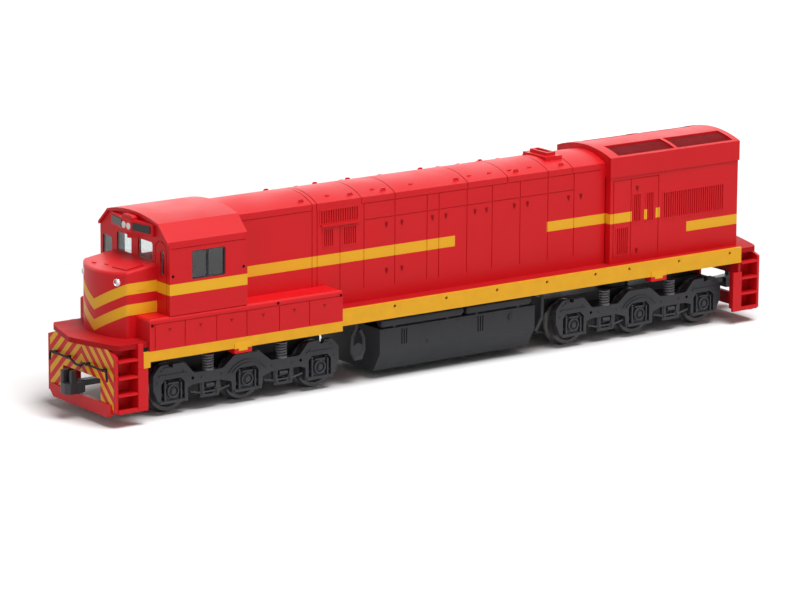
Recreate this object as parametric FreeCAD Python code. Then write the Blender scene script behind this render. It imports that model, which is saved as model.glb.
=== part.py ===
# A six-axle diesel hood locomotive, as a 1:87 display model with a low short nose.
# X runs forward to the nose, Y to the left side, Z up, in millimetres.
# The origin is on the floor under the middle of the model, and the wheel flanges stand on the floor.
import FreeCAD, Part
import math
import os
from FreeCAD import Vector

# Ends and sides of the whole model
pilot_face = 110.1          # outer face of each end plate, from the middle
coupler_reach = 6.05        # coupler tip beyond the end plate
half_width = 17.3           # outer face of the side sills and equipment boxes
body_side = 29.1            # straight side of the long hood, above the deck

# Wheels and trucks
tread_radius = 5.88
flange_depth = 0.8
flange_width = 0.6
back_to_back = 14.4         # between the flange backs
wheel_width = 2.8
rim_depth = 0.9
hub_radius = 1.9
axle_radius = 1.0
axle_short = 0.5            # axle end short of the side frames
axle_pitch = 23.76
front_pivot_gap = 6.9       # coupler pivot beyond the front truck's gearcase
rear_pivot_gap = 3.3
running_gap = 0.05          # round a pin or axle in its bore
face_gap = 0.15             # between flat faces that slide past each other
gearcase_in = 1.8           # gearcase side inside the flange backs
gearcase_end = 4.84         # beyond the end axles
gearcase_below = 3.08       # below the axles
gearcase_above = 6.72
kingpin_radius = 2.5
kingpin_length = 3.6
frame_clear = 0.9           # side frame outside the wheel's face
frame_thick = 1.7
frame_past = 5.64           # side frame beyond the end axles
rise_above = 7.42           # top over the end axles, above their centres
arch_above = 7.22           # top over the middle axle
run_above = 4.12            # top of the dropped stretches
run_depth = 3.1
foot_below = 3.28           # underside of the pedestals, below the axles
pedestal_half = 4.7
box_window = 3.7            # half width of the opening round an axle box
notch_out = 0.7             # notch in the top, outward of an end axle
lip_radius = 6.4            # raised lips that arch over the middle axle
lip_sink = 2.2
lip_half = 6.4
bearing_radius = 1.9
spring_radius = 1.7
spring_turns = 5
bolster_length = 5.0

# Couplers
coupler_pin_back = 9.0      # pivot behind the end plate's face
coupler_pin_radius = 0.8
shank_above = 2.02          # underside of the shank, above the axles
shank_height = 1.6
shank_half = 1.1
head_below = 1.5            # head below the shank's underside
head_above = 4.8
head_half = 2.5
head_length = 6.0
pocket_half = 2.6
pocket_wall = 1.2

# Underframe
truck_headroom = 2.2        # between the gearcase and the centre sill
centre_sill_height = 5.4
centre_sill_half = 7.5
deck_thick = 1.4
sill_thick = 0.7
sill_kerb = 0.6             # sill edge above the deck
sill_height = 4.6
sill_short = 7.2            # sill's rear end, ahead of the rear end plate
low_sill_drop = 2.6         # band under the equipment boxes, below the deck
low_sill_height = 2.8
toe_back = 1.75             # band's front end behind the steps
toe_drop = 1.5              # toe of the band at its front end
toe_length = 2.1
stanchion_radius = 0.45
stanchion_drop = 1.3        # below the sill's top edge
stanchions_ahead = (17.4, 34.9, 52.3, 69.8)         # behind the equipment boxes
stanchions_behind = (53.4, 41.2, 23.1, 4.3)         # ahead of the sill's rear end
bolster_half_length = 4.0
bolster_height = 2.0

# End platforms, pilots and steps
porch_length = 10.5         # from the equipment boxes to the end plate
porch_tip = 3.9             # middle of the platform's edge beyond the end plate
porch_shoulder = 1.7
porch_shoulder_y = 8.0
porch_corner_in = 2.0       # corner inside the deck's side
porch_corner_back = 0.3
pilot_thick = 0.8
pilot_in = 0.4              # plate's edge inside the sills' outer face
pilot_foot = 4.2
pilot_chamfer = 1.4
slot_half = 9.4             # opening that the coupler swings in
slot_below = 2.4            # below the shank's underside
slot_above = 3.6
bar_in = 1.7
bar_bottom = 2.8
bar_chamfer = 1.6
bar_thick = 0.6
step_width = 6.05           # clear width between stringer and end plate
step_depth = 4.6
step_thick = 0.6
step_count = 4
step_bottom = 4.0
stringer_width = 3.1
stringer_thick = 0.8

# Equipment boxes beside and behind the cab
box_behind_cab = 31.0
box_height = 8.7
box_edge = 0.9
box_seams = (0.027, 0.179, 0.34, 0.496, 0.665, 0.823)       # parts of the box's length, from its front
box_seam_drop = 1.7
seam_width = 0.25
seam_depth = 0.22

# Short nose
nose_half = 10.9
nose_length = 9.15          # from the cab to where the front begins to curve
nose_tip = 3.7              # middle of the front face ahead of its corners
nose_corner = 2.6
nose_height = 17.5          # at the front, above the deck
nose_slope = 1.8            # rise from the front to the cab
nose_edge = 1.3
marker_radius = 0.85
marker_y = 8.2
marker_drop = 2.5
marker_stand = 0.3

# Cab
cab_back = 41.6             # cab's rear wall behind the front end plate
cab_length = 24.65
cab_in = 0.15               # cab side inside the sills' outer face
cab_wall = 0.9
cab_floor = 0.8
eave_drop = 3.1             # eaves below the long hood's edge
cant_width = 4.65           # sloping part between the side and the arched roof
cant_rise = 4.3
roof_rise = 1.6
roof_thick = 0.8
visor = 0.7
cab_seam_drop = 2.0
# Windows as their edges along the wall, then sill and head below the eaves
front_window = (8.35, 6.5, 1.4)             # outer edge in from the side
front_window_gap = 1.6                      # half the post between the two front windows
far_window = (5.75, 1.25, 8.6, 3.3)         # both edges in from the side
door_window = (4.55, 2.65, 9.4, 3.0)
rear_window = (5.75, 1.95, 8.4, 2.8)
side_window = (7.0, 17.6, 10.8, 3.0)        # ahead of the rear wall
window_corner = 0.6
pane_thick = 0.35
sash_border = 0.3
sash_post = 0.5
door_half = 2.6
door_in = 4.25              # middle of the front door, in from the cab's side
door_head_drop = 0.5
door_relief = 0.25

# Headlight and number board housing
board_inner = 2.3
board_in = 0.8              # board's outer end inside the housing's
housing_in = 2.3            # housing's outer end inside the roof's break line
housing_inner_stand = 2.3   # ahead of the cab front, beside the lamps
housing_outer_stand = 0.8
housing_lift = 0.4          # above the eaves
housing_up = 0.3            # above the underside of the roof at its break line
board_border = 0.7
board_thick = 0.2
lamp_half_gap = 1.15
lamp_radius = 0.9
lamp_lift = 1.6
lamp_stand = 0.15
bump_gap = 0.2              # under the roof's crest
keel_drop = 1.8

# Long hood
hood_half = 10.0
hood_rise = 2.5             # crest of the arched roof above the straight side
hood_wall = 1.2
# Places along the hood as parts of its length behind the cab
hood_seams = (0.204, 0.217, 0.277, 0.34, 0.422, 0.508, 0.54, 0.616, 0.685, 0.762, 0.839, 0.912)
roof_seams = (0.204, 0.216, 0.333, 0.422, 0.618, 0.727, 0.839, 0.908)
eye_places = (0.183, 0.311, 0.398, 0.594, 0.758, 0.884)
door_foot = 3.6             # doors' lower end above the deck
head_seam_drop = 1.9        # seam under the roof
lower_seam_drop = 6.5
# Louvre panels as two parts of that length, then foot and head below the roof's edge, then slot pitch
upper_louvre = (0.328, 0.223, 6.2, 1.8, 0.78)
left_louvre = (0.263, 0.231, 12.6, 7.1, 0.65)
right_louvre = (0.323, 0.283, 12.8, 7.1, 0.71)
louvre_border = 0.4
louvre_thick = 0.7
louvre_relief = 0.1
ledge_height = 0.5
ledge_stand = 0.5
eye_in = 1.6                # lifting eyes, in from the hood's side
eye_radius = 0.75
eye_thick = 0.4

# Exhaust stack
stack_place = 0.883
stack_length = 5.9          # base plate
stack_width = 10.6
stack_inset = 1.4           # block inside the base plate, all round
stack_base_rise = 0.4       # above the hood's crest
stack_rise = 0.9
stack_wall = 0.7
stack_mouth = 0.6

# Radiator section
radiator_ahead = 4.95       # its rear face, ahead of the rear end plate
radiator_length = 47.0
radiator_half = 12.5
radiator_lift = 1.7         # its roof's edge above the long hood's
radiator_rise = 2.2
overhang_depth = 5.7        # upper part that overhangs
radiator_step = 0.3
radiator_wall = 1.2
recess_ahead = 3.45         # roof recess behind the front face
recess_behind = 1.75
recess_bar = 1.2
recess_inner = 4.6          # solid crest between the left and right grilles
recess_in = 0.9             # recess inside the radiator's side
recess_depth = 0.7
grille_thick = 0.6
roof_slots = 11
# Side panels as two parts of the section's length from its front, foot and head above the deck, slot pitch
side_grille = (0.897, 0.407, 10.8, 19.0, 0.79)
small_grille = (0.348, 0.278, 10.8, 19.7, 0.63)
small_grille_b = (0.248, 0.178, 11.1, 19.7, 0.63)
low_grille = (0.154, 0.048, 2.0, 10.5, 0.7)
radiator_seams = (0.033, 0.167, 0.38)
radiator_door_foot = 1.6
radiator_door_drop = 1.0

# Heavy block inside the hoods
weight_clear = 0.6
weight_back = 2.5           # behind the cab

# Fuel tank and air reservoirs
tank_behind_truck = 13.2    # from the front truck's frames to the tank
tank_ahead_truck = 9.5      # from the tank to the rear truck's frames
tank_in = 3.0               # tank side inside the sills' outer face
tank_gap = 0.7              # below the centre sill
tank_side = 7.0             # upright part of its side
tank_slope = 5.5
tank_slope_in = 3.3
tank_edge = 0.5
gauge_places = (0.154, 0.644)       # ribbed sight gauges, as parts of the tank's length
gauge_pitch = 0.8
gauge_height = 4.4
gauge_groove = 0.4
gauge_depth = 0.35
gauge_drop = 0.7
reservoir_radius = 1.45
reservoir_in = 0.9
reservoir_split = 0.542     # between two reservoirs, as a part of the tank's length
reservoir_gap = 0.5
reservoir_front = 0.4
reservoir_rear = 1.4
reservoir_seat = 0.15
strap_width = 0.8
strap_place = 0.18          # from each end, as a part of the reservoir's length

# Pads, pipes and levers
pad_front_ahead = 4.6       # front pads ahead of the truck centre
pad_rear_behind = 3.0
pad_length = 5.6
pad_drop = 1.4
pad_depth = 2.0
pipe_radius = 0.55
loop_ahead = 7.0            # cable loop ahead of the tank
loop_length = 13.3          # its lowest point below the deck plate
hanger_behind = 3.0
loop_in = 0.7
lever_radius = 0.3
lever_drop = 5.6            # below the deck plate
lever_stand = 1.1
lever_in = 2.5

# Heights, from the wheels up
axle_z = tread_radius + flange_depth
flange_radius = tread_radius + flange_depth
gearcase_bottom = axle_z - gearcase_below
gearcase_top = axle_z + gearcase_above
frame_rise = axle_z + rise_above
frame_arch = axle_z + arch_above
frame_run_top = axle_z + run_above
frame_run_bottom = frame_run_top - run_depth
frame_foot = axle_z - foot_below
shank_bottom = axle_z + shank_above
head_bottom = shank_bottom - head_below
head_top = shank_bottom + head_above
pocket_bottom = shank_bottom - face_gap - pocket_wall
pocket_top = shank_bottom + shank_height + face_gap + pocket_wall
slot_bottom = shank_bottom - slot_below
slot_top = shank_bottom + slot_above
centre_sill_bottom = gearcase_top + truck_headroom
deck_bottom = centre_sill_bottom + centre_sill_height
deck_top = deck_bottom + deck_thick
sill_top = deck_top + sill_kerb
sill_bottom = sill_top - sill_height
low_sill_top = deck_top - low_sill_drop
low_sill_bottom = low_sill_top - low_sill_height
step_pitch = (sill_bottom - step_thick - step_bottom) / (step_count - 1)
box_top = low_sill_top + box_height
nose_front_top = deck_top + nose_height
nose_rear_top = nose_front_top + nose_slope
marker_z = nose_front_top - marker_drop
hood_edge_z = deck_top + body_side
hood_crest = hood_edge_z + hood_rise
eave_z = hood_edge_z - eave_drop
break_z = eave_z + cant_rise
cab_crest = break_z + roof_rise
door_top = eave_z - door_head_drop
housing_bottom = eave_z + housing_lift
housing_top = break_z - roof_thick + housing_up
board_bottom = housing_bottom + board_border
board_height = housing_top - board_border - board_bottom
lamp_z = housing_bottom + lamp_lift
bump_top = cab_crest - roof_thick - bump_gap
stack_base_top = hood_crest + stack_base_rise
stack_top = stack_base_top + stack_rise
radiator_edge_z = hood_edge_z + radiator_lift
radiator_crest = radiator_edge_z + radiator_rise
radiator_step_z = radiator_edge_z - overhang_depth
tank_top = centre_sill_bottom - tank_gap
tank_knee = tank_top - tank_side
tank_bottom = tank_knee - tank_slope
lever_z = deck_bottom - lever_drop
loop_bottom = deck_bottom - loop_length

# Places along the model
gearcase_reach = axle_pitch + gearcase_end
frame_end = axle_pitch + frame_past
pin_x = pilot_face - coupler_pin_back
front_truck_x = pin_x - front_pivot_gap - gearcase_reach
rear_truck_x = gearcase_reach + rear_pivot_gap - pin_x
stringer_inner = pilot_face - pilot_thick - step_width
box_front = pilot_face - porch_length
cab_rear = pilot_face - cab_back
cab_front = cab_rear + cab_length
box_rear = cab_rear - box_behind_cab
nose_corner_x = cab_front + nose_length
low_sill_front = stringer_inner - toe_back
sill_rear = sill_short - pilot_face
radiator_rear = radiator_ahead - pilot_face
radiator_front = radiator_rear + radiator_length
hood_length = cab_rear - radiator_front
stack_x = cab_rear - stack_place * hood_length
recess_front = radiator_front - recess_ahead
recess_rear = radiator_rear + recess_behind
tank_front = front_truck_x - frame_end - tank_behind_truck
tank_rear = rear_truck_x + frame_end + tank_ahead_truck
reservoir_break = tank_front - reservoir_split * (tank_front - tank_rear)
loop_x = tank_front + loop_ahead
hanger_x = tank_rear - hanger_behind

# Places across the model
wheel_inner = back_to_back / 2
gearcase_half = wheel_inner - gearcase_in
frame_inner = wheel_inner + wheel_width + frame_clear
frame_outer = frame_inner + frame_thick
axle_end = frame_inner - axle_short
deck_half = half_width - sill_thick
cab_half = half_width - cab_in
break_y = cab_half - cant_width
door_centre = cab_half - door_in
housing_outer = break_y - housing_in
board_outer = housing_outer - board_in
recess_outer = radiator_half - recess_in
pilot_half = half_width - pilot_in
bar_half = pilot_half - bar_in
lever_half = pilot_half - lever_in
tank_half = half_width - tank_in
tank_foot_half = tank_half - tank_slope_in
reservoir_y = tank_half - reservoir_in
loop_y = tank_half - loop_in
eye_y = hood_half - eye_in


def point_yz(y, z):
    return Vector(0, y, z)


def point_xz(x, z):
    return Vector(x, 0, z)


def point_xy(x, y):
    return Vector(x, y, 0)


def block(x0, x1, y0, y1, z0, z1):
    return Part.makeBox(x1 - x0, y1 - y0, z1 - z0, Vector(x0, y0, z0))


def prism(wire, start, run):
    # Extrudes a flat closed wire along run, moved first by start
    face = Part.Face(wire)
    face.translate(start)
    return face.extrude(run)


def polygon(points, place):
    corners = [place(a, b) for a, b in points]
    return Part.makePolygon(corners + [corners[0]])


def rounded(corners, place):
    # A closed outline from corners (a, b, radius), each corner turned by a tangent arc
    edges = []
    ends = []
    count = len(corners)
    for index in range(count):
        before = place(*corners[index - 1][:2])
        here = place(*corners[index][:2])
        after = place(*corners[(index + 1) % count][:2])
        radius = corners[index][2]
        if radius <= 0:
            ends.append((here, here, None))
            continue
        back = (before - here).normalize()
        ahead = (after - here).normalize()
        half = back.getAngle(ahead) / 2
        reach = radius / math.tan(half)
        middle = (back + ahead).normalize()
        arc_mid = here + middle * (radius / math.sin(half) - radius)
        ends.append((here + back * reach, here + ahead * reach, arc_mid))
    for index in range(count):
        first, last, arc_mid = ends[index]
        if arc_mid is not None:
            edges.append(Part.Arc(first, arc_mid, last).toShape())
        following = ends[(index + 1) % count][0]
        if (following - last).Length > 1e-6:
            edges.append(Part.LineSegment(last, following).toShape())
    return Part.Wire(edges)


def arched(half, base_z, edge_z, crest_z):
    # Cross-section of a hood: a flat base, two upright sides and one arc for the roof
    low_left = Vector(0, half, base_z)
    top_left = Vector(0, half, edge_z)
    top_right = Vector(0, -half, edge_z)
    low_right = Vector(0, -half, base_z)
    edges = [
        Part.LineSegment(low_right, low_left).toShape(),
        Part.LineSegment(low_left, top_left).toShape(),
        Part.Arc(top_left, Vector(0, 0, crest_z), top_right).toShape(),
        Part.LineSegment(top_right, low_right).toShape(),
    ]
    return Part.Wire(edges)


def cylinder(radius, centre, run):
    return Part.makeCylinder(radius, run.Length, centre, run)


def other_side(shape):
    return shape.mirror(Vector(0, 0, 0), Vector(0, 1, 0))


def turned_round(shape):
    # The same piece at the other end of the model
    return shape.rotated(Vector(0, 0, 0), Vector(0, 0, 1), 180)


def fused(shapes):
    return shapes[0].multiFuse(shapes[1:]).removeSplitter()


def save(name, *solids):
    shape = solids[0] if len(solids) == 1 else Part.makeCompound(list(solids))
    shape.exportStep(os.path.join("parts", name + ".step"))


# Wheels and trucks

def wheelset(x):
    # One turned profile: axle, both wheels with flanges, rims and hubs
    outer = wheel_inner + wheel_width
    rim_radius = tread_radius - 1.0
    disc = outer - rim_depth
    right = [
        (wheel_inner, axle_radius),
        (wheel_inner, flange_radius),
        (wheel_inner + flange_width, flange_radius),
        (wheel_inner + flange_width + flange_depth / 2, tread_radius),
        (outer, tread_radius),
        (outer, rim_radius),
        (disc, rim_radius - 0.4),
        (disc, hub_radius),
        (outer - 0.2, hub_radius),
        (outer - 0.2, axle_radius),
        (axle_end, axle_radius),
        (axle_end, 0),
    ]
    left = [(-y, radius) for y, radius in reversed(right)]
    wire = polygon(left + right, lambda y, radius: Vector(0, y, radius))
    turned = Part.Face(wire).revolve(Vector(0, 0, 0), Vector(0, 1, 0), 360)
    turned.translate(Vector(x, 0, axle_z))
    return turned


def gearcase(truck_x, facing):
    # Inner casting with axle bores, two cross-bolsters, the kingpin and the coupler pocket
    case = block(-gearcase_reach, gearcase_reach, -gearcase_half, gearcase_half, gearcase_bottom, gearcase_top)
    bolsters = []
    for side in (-1, 1):
        middle = side * axle_pitch / 2
        bolsters.append(block(middle - bolster_length / 2, middle + bolster_length / 2,
                              -frame_inner, frame_inner, frame_run_bottom, frame_run_top))
    top = Vector(0, 0, gearcase_top)
    seat = cylinder(kingpin_radius + 2, top, Vector(0, 0, truck_headroom - face_gap))
    pin = cylinder(kingpin_radius, top, Vector(0, 0, truck_headroom + kingpin_length))
    reach = pin_x - abs(truck_x)
    arm = block(gearcase_reach - 2, reach - 4, -pocket_half, pocket_half, pocket_bottom, pocket_top)
    under = block(reach - 4.5, reach + 1.6, -pocket_half, pocket_half, pocket_bottom, pocket_bottom + pocket_wall)
    over = block(reach - 4.5, reach + 1.6, -pocket_half, pocket_half, pocket_top - pocket_wall, pocket_top)
    pivot = cylinder(coupler_pin_radius, Vector(reach, 0, pocket_bottom), Vector(0, 0, pocket_top - pocket_bottom))
    solid = fused([case] + bolsters + [seat, pin, arm, under, over, pivot])
    bores = []
    for step in (-1, 0, 1):
        start = Vector(step * axle_pitch, -frame_inner, axle_z)
        bores.append(cylinder(axle_radius + running_gap, start, Vector(0, 2 * frame_inner, 0)))
    solid = solid.cut(Part.makeCompound(bores))
    if facing < 0:
        solid = turned_round(solid)
    solid.translate(Vector(truck_x, 0, 0))
    return solid


def side_frame(truck_x):
    # Cast side frame: raised ends, dropped runs and a high arch, with three pedestals
    run_start = pedestal_half + 3.1
    run_end = axle_pitch - pedestal_half - 1.4
    rise_start = axle_pitch - 3.8
    edge = [
        (4.0, frame_arch, 1.5),
        (run_start, frame_run_top, 1.5),
        (run_end - 0.6, frame_run_top, 1.5),
        (rise_start, frame_rise, 1.2),
        (frame_end - 1.6, frame_rise, 1.4),
        (frame_end + 0.6, frame_rise - 2.4, 1.0),
        (frame_end + 0.6, frame_run_bottom, 0.8),
        (axle_pitch + pedestal_half, frame_foot + 0.8, 0),
        (axle_pitch + pedestal_half - 0.6, frame_foot, 0),
        (axle_pitch - pedestal_half, frame_foot, 0),
        (axle_pitch - pedestal_half, frame_run_bottom - 0.6, 0),
        (run_end - 0.6, frame_run_bottom, 0),
        (run_start + 0.4, frame_run_bottom, 0),
        (pedestal_half + 0.4, frame_run_bottom - 1.0, 0),
        (pedestal_half, frame_foot, 0),
    ]
    mirrored = [(-x, z, radius) for x, z, radius in reversed(edge)]
    plate = prism(rounded(edge + mirrored, point_xz), Vector(0, frame_inner, 0), Vector(0, frame_thick, 0))
    openings = []
    for step in (-1, 0, 1):
        middle = step * axle_pitch
        opening = [
            (middle - box_window, frame_foot + 0.9),
            (middle + box_window, frame_foot + 0.9),
            (middle + box_window, axle_z + 2.2),
            (middle + box_window - 1.2, axle_z + 3.4),
            (middle - box_window + 1.2, axle_z + 3.4),
            (middle - box_window, axle_z + 2.2),
        ]
        openings.append(prism(polygon(opening, point_xz), Vector(0, frame_inner - 1, 0), Vector(0, frame_thick + 2, 0)))
    for side in (-1, 1):
        middle = side * (axle_pitch + notch_out)
        openings.append(block(middle - 0.7, middle + 0.7, frame_inner - 1, frame_outer + 1, frame_rise - 0.9, frame_rise + 1))
        start = Vector(side * (run_end - 0.2), frame_inner - 1, frame_run_top - 1.4)
        openings.append(cylinder(0.45, start, Vector(0, frame_thick + 2, 0)))
    bare = plate.cut(Part.makeCompound(openings))
    boxes = []
    for step in (-1, 0, 1):
        middle = step * axle_pitch
        box_face = frame_outer + 0.1
        half = bearing_radius + 0.2
        boxes.append(block(middle - half, middle + half, frame_inner, frame_outer - 0.5, frame_foot + 0.5, axle_z + 2.1))
        ring = cylinder(bearing_radius, Vector(middle, frame_inner, axle_z), Vector(0, box_face - frame_inner, 0))
        boxes.append(ring.cut(cylinder(bearing_radius - 0.5, Vector(middle, box_face - 0.4, axle_z), Vector(0, 1, 0))))
        boxes.append(cylinder(0.75, Vector(middle, frame_inner, axle_z), Vector(0, box_face + 0.3 - frame_inner, 0)))
        boxes.append(block(middle + bearing_radius + 0.3, middle + bearing_radius + 0.8, frame_inner, frame_outer,
                           frame_foot + 0.8, axle_z + 3.0))
        boxes.append(block(middle - box_window, middle + box_window, frame_inner + 0.2, frame_outer - 0.7,
                           axle_z - 1.4, axle_z - 0.6))
        boxes.append(block(middle - box_window - 0.6, middle + box_window + 0.6, frame_outer - 0.3,
                           frame_outer + 0.2, frame_foot + 0.1, frame_foot + 0.8))
    for low, high in ((lip_radius, lip_radius + 0.4), (lip_radius + 1.0, lip_radius + 1.3)):
        lip_centre = Vector(0, frame_outer, axle_z - lip_sink)
        lip = cylinder(high, lip_centre, Vector(0, 0.25, 0)).cut(cylinder(low, lip_centre, Vector(0, 1, 0)))
        boxes.append(lip.common(block(-lip_half, lip_half, frame_outer, frame_outer + 1, axle_z + 2.4, frame_arch)))
    for side in (-1, 1):
        inner = side * (axle_pitch - pedestal_half + 0.4)
        outer = side * (axle_pitch + pedestal_half - 0.2)
        boxes.append(block(min(inner, outer), max(inner, outer), frame_outer, frame_outer + 0.25,
                           axle_z + 4.2, axle_z + 4.7))
    solid = fused([bare] + boxes)
    solid.translate(Vector(truck_x, 0, 0))
    return solid


def brake_gear(truck_x):
    # Brake hangers with shoes between the wheels, hung from the dropped runs of a side frame
    pieces = []
    for side in (-1, 1):
        middle = side * axle_pitch / 2
        hanger = [
            (middle - 3.4, frame_run_bottom),
            (middle - 2.2, frame_run_bottom),
            (middle - 1.2, axle_z - 2.4),
            (middle + 1.6, axle_z - 2.4),
            (middle + 2.0, frame_run_bottom),
            (middle + 3.2, frame_run_bottom),
            (middle + 3.0, axle_z - 3.2),
            (middle - 3.0, axle_z - 3.2),
        ]
        pieces.append(prism(polygon(hanger, point_xz), Vector(truck_x, frame_inner + 0.3, 0),
                            Vector(0, frame_thick - 0.6, 0)))
    return pieces


def coil_spring(x, y, bottom, top):
    # A moulded coil spring as eight-sided turns round a core
    pitch = (top - bottom) / (spring_turns - 0.5)
    core = eight_sided(spring_radius - 0.45, x, y, bottom, top)
    turns = [eight_sided(spring_radius, x, y, bottom + turn * pitch, bottom + (turn + 0.5) * pitch)
             for turn in range(spring_turns)]
    return fused([core] + turns)


def eight_sided(radius, x, y, low, high):
    corners = []
    for number in range(8):
        angle = math.radians(22.5 + 45 * number)
        corners.append(Vector(x + radius * math.cos(angle), y + radius * math.sin(angle), low))
    return Part.Face(Part.makePolygon(corners + [corners[0]])).extrude(Vector(0, 0, high - low))


def truck_springs(truck_x):
    springs = []
    for side in (-1, 1):
        for end in (-1, 1):
            springs.append(coil_spring(truck_x + end * axle_pitch / 2, side * (frame_inner + spring_radius - 1.2),
                                       frame_run_top, centre_sill_bottom - 0.5))
    return springs


def coupler(facing):
    # Knuckle coupler: shank with its pivot eye, a low block, and a knuckle and a guard arm standing on it
    tip = pilot_face + coupler_reach
    back = tip - head_length
    middle = shank_bottom + shank_height / 2
    shank = block(pin_x, back + 0.5, -shank_half, shank_half, shank_bottom, shank_bottom + shank_height)
    eye = cylinder(coupler_pin_radius + 1.0, Vector(pin_x, 0, shank_bottom), Vector(0, 0, shank_height))
    low = [
        (back, -head_half + 0.6, 0),
        (back, head_half - 0.6, 0),
        (back + 2.4, head_half, 0),
        (tip - 0.9, head_half, 0.5),
        (tip, head_half - 1.2, 0.5),
        (tip, -head_half + 1.0, 1.2),
        (back + 2.4, -head_half, 0),
    ]
    base = prism(rounded(low, point_xy), Vector(0, 0, head_bottom), Vector(0, 0, middle + 0.6 - head_bottom))
    knuckle = [
        (back + 2.9, -head_half + 0.1, 0.3),
        (back + 2.9, -head_half + 1.3, 0.3),
        (tip - 1.6, -0.2, 0.3),
        (tip - 0.2, -0.2, 0.4),
        (tip - 0.2, -head_half + 1.1, 0.5),
    ]
    guard = [
        (back + 2.9, 0.9, 0.3),
        (back + 2.9, head_half - 0.2, 0.3),
        (tip - 1.2, head_half - 0.2, 0.4),
        (tip - 1.2, head_half - 1.0, 0.3),
    ]
    upright = Vector(0, 0, head_top - middle)
    arms = [prism(rounded(outline, point_xy), Vector(0, 0, middle), upright) for outline in (knuckle, guard)]
    solid = fused([shank, eye, base] + arms)
    solid = solid.cut(cylinder(coupler_pin_radius + running_gap, Vector(pin_x, 0, shank_bottom - 1),
                               Vector(0, 0, shank_height + 2)))
    if facing < 0:
        solid = turned_round(solid)
    return solid


# Underframe

def deck():
    # Platform plate with a blunt pointed edge at both ends
    edge = [
        (pilot_face + porch_tip, 0, 3.0),
        (pilot_face + porch_shoulder, porch_shoulder_y, 1.5),
        (pilot_face - porch_corner_back, deck_half - porch_corner_in, 0.8),
        (pilot_face - 1.6, deck_half, 0.8),
    ]
    rear = [(-x, y, radius) for x, y, radius in reversed(edge[1:])] + [(-edge[0][0], 0, edge[0][2])]
    left = edge + rear
    right = [(x, -y, radius) for x, y, radius in reversed(left[1:-1])]
    return prism(rounded(left + right, point_xy), Vector(0, 0, deck_bottom), Vector(0, 0, deck_thick))


def side_sill():
    # Left sill: a deep strip beside the walkway, then a lower band under the boxes
    outline = [
        (sill_rear, sill_bottom),
        (sill_rear, sill_top),
        (box_rear, sill_top),
        (box_rear, low_sill_top),
        (low_sill_front, low_sill_top),
        (low_sill_front, low_sill_bottom - toe_drop),
        (low_sill_front - toe_length, low_sill_bottom - toe_drop),
        (low_sill_front - toe_length, low_sill_bottom),
        (box_rear, low_sill_bottom),
        (box_rear, sill_bottom),
    ]
    strip = prism(polygon(outline, point_xz), Vector(0, deck_half, 0), Vector(0, sill_thick, 0))
    places = [box_rear - distance for distance in stanchions_ahead]
    places += [sill_rear + distance for distance in stanchions_behind]
    holes = []
    for x in places:
        start = Vector(x, deck_half - 1, sill_top - stanchion_drop)
        holes.append(cylinder(stanchion_radius, start, Vector(0, sill_thick + 2, 0)))
    return strip.cut(Part.makeCompound(holes))


def centre_sill():
    # Box girder with a cross-bolster and a kingpin socket over each truck
    end = pilot_face - pilot_thick
    girder = block(-end, end, -centre_sill_half, centre_sill_half, centre_sill_bottom, deck_bottom)
    pieces = [girder]
    sockets = []
    for x in (front_truck_x, rear_truck_x):
        pieces.append(block(x - bolster_half_length, x + bolster_half_length, -deck_half, deck_half,
                            deck_bottom - bolster_height, deck_bottom))
        sockets.append(cylinder(kingpin_radius + running_gap, Vector(x, 0, centre_sill_bottom - 1),
                                Vector(0, 0, kingpin_length + 1 + face_gap)))
    return fused(pieces).cut(Part.makeCompound(sockets))


def pilot(facing):
    # End plate with the coupler's swing opening and a lower bar
    face = pilot_face
    plate_outline = [
        (pilot_half, pilot_foot),
        (pilot_half, deck_bottom - pilot_chamfer),
        (pilot_half - 3 * pilot_chamfer, deck_bottom),
    ]
    mirrored = [(-y, z) for y, z in reversed(plate_outline)]
    plate = prism(polygon(plate_outline + mirrored, point_yz), Vector(face - pilot_thick, 0, 0),
                  Vector(pilot_thick, 0, 0))
    bar_outline = [
        (bar_half - bar_chamfer, bar_bottom),
        (bar_half, bar_bottom + bar_chamfer),
        (bar_half, slot_bottom),
    ]
    mirrored = [(-y, z) for y, z in reversed(bar_outline)]
    bar = prism(polygon(bar_outline + mirrored, point_yz), Vector(face - pilot_thick, 0, 0),
                Vector(pilot_thick + bar_thick, 0, 0))
    slot = block(face - pilot_thick - 1, face + bar_thick + 1, -slot_half, slot_half, slot_bottom, slot_top)
    solid = fused([plate, bar]).cut(slot)
    if facing < 0:
        solid = turned_round(solid)
    return solid


def step_well():
    # Front left steps: an angle-section stringer and open treads up to the end plate
    inner = stringer_inner
    outer = pilot_face - pilot_thick
    web = block(inner - stringer_thick, inner, half_width - step_depth, half_width, step_bottom, deck_bottom)
    web = web.cut(block(inner - 2, inner + 1, deck_half, half_width + 1, low_sill_top - 5, deck_top))
    flange = block(inner - stringer_width, inner, half_width - stringer_thick, half_width,
                   step_bottom, low_sill_bottom - toe_drop)
    pieces = [web, flange]
    for step in range(step_count):
        bottom = step_bottom + step * step_pitch
        pieces.append(block(inner, outer, half_width - step_depth, half_width - 0.1, bottom, bottom + step_thick))
    lip = block(inner, outer, half_width - 0.7, half_width - 0.1, step_bottom, step_bottom + 1.1)
    return fused(pieces + [lip])


# Bodywork

def side_seams(positions, face_y, z0, z1):
    grooves = []
    for x in positions:
        grooves.append(block(x - seam_width / 2, x + seam_width / 2, face_y - seam_depth, face_y + 1, z0, z1))
    return grooves


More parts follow.
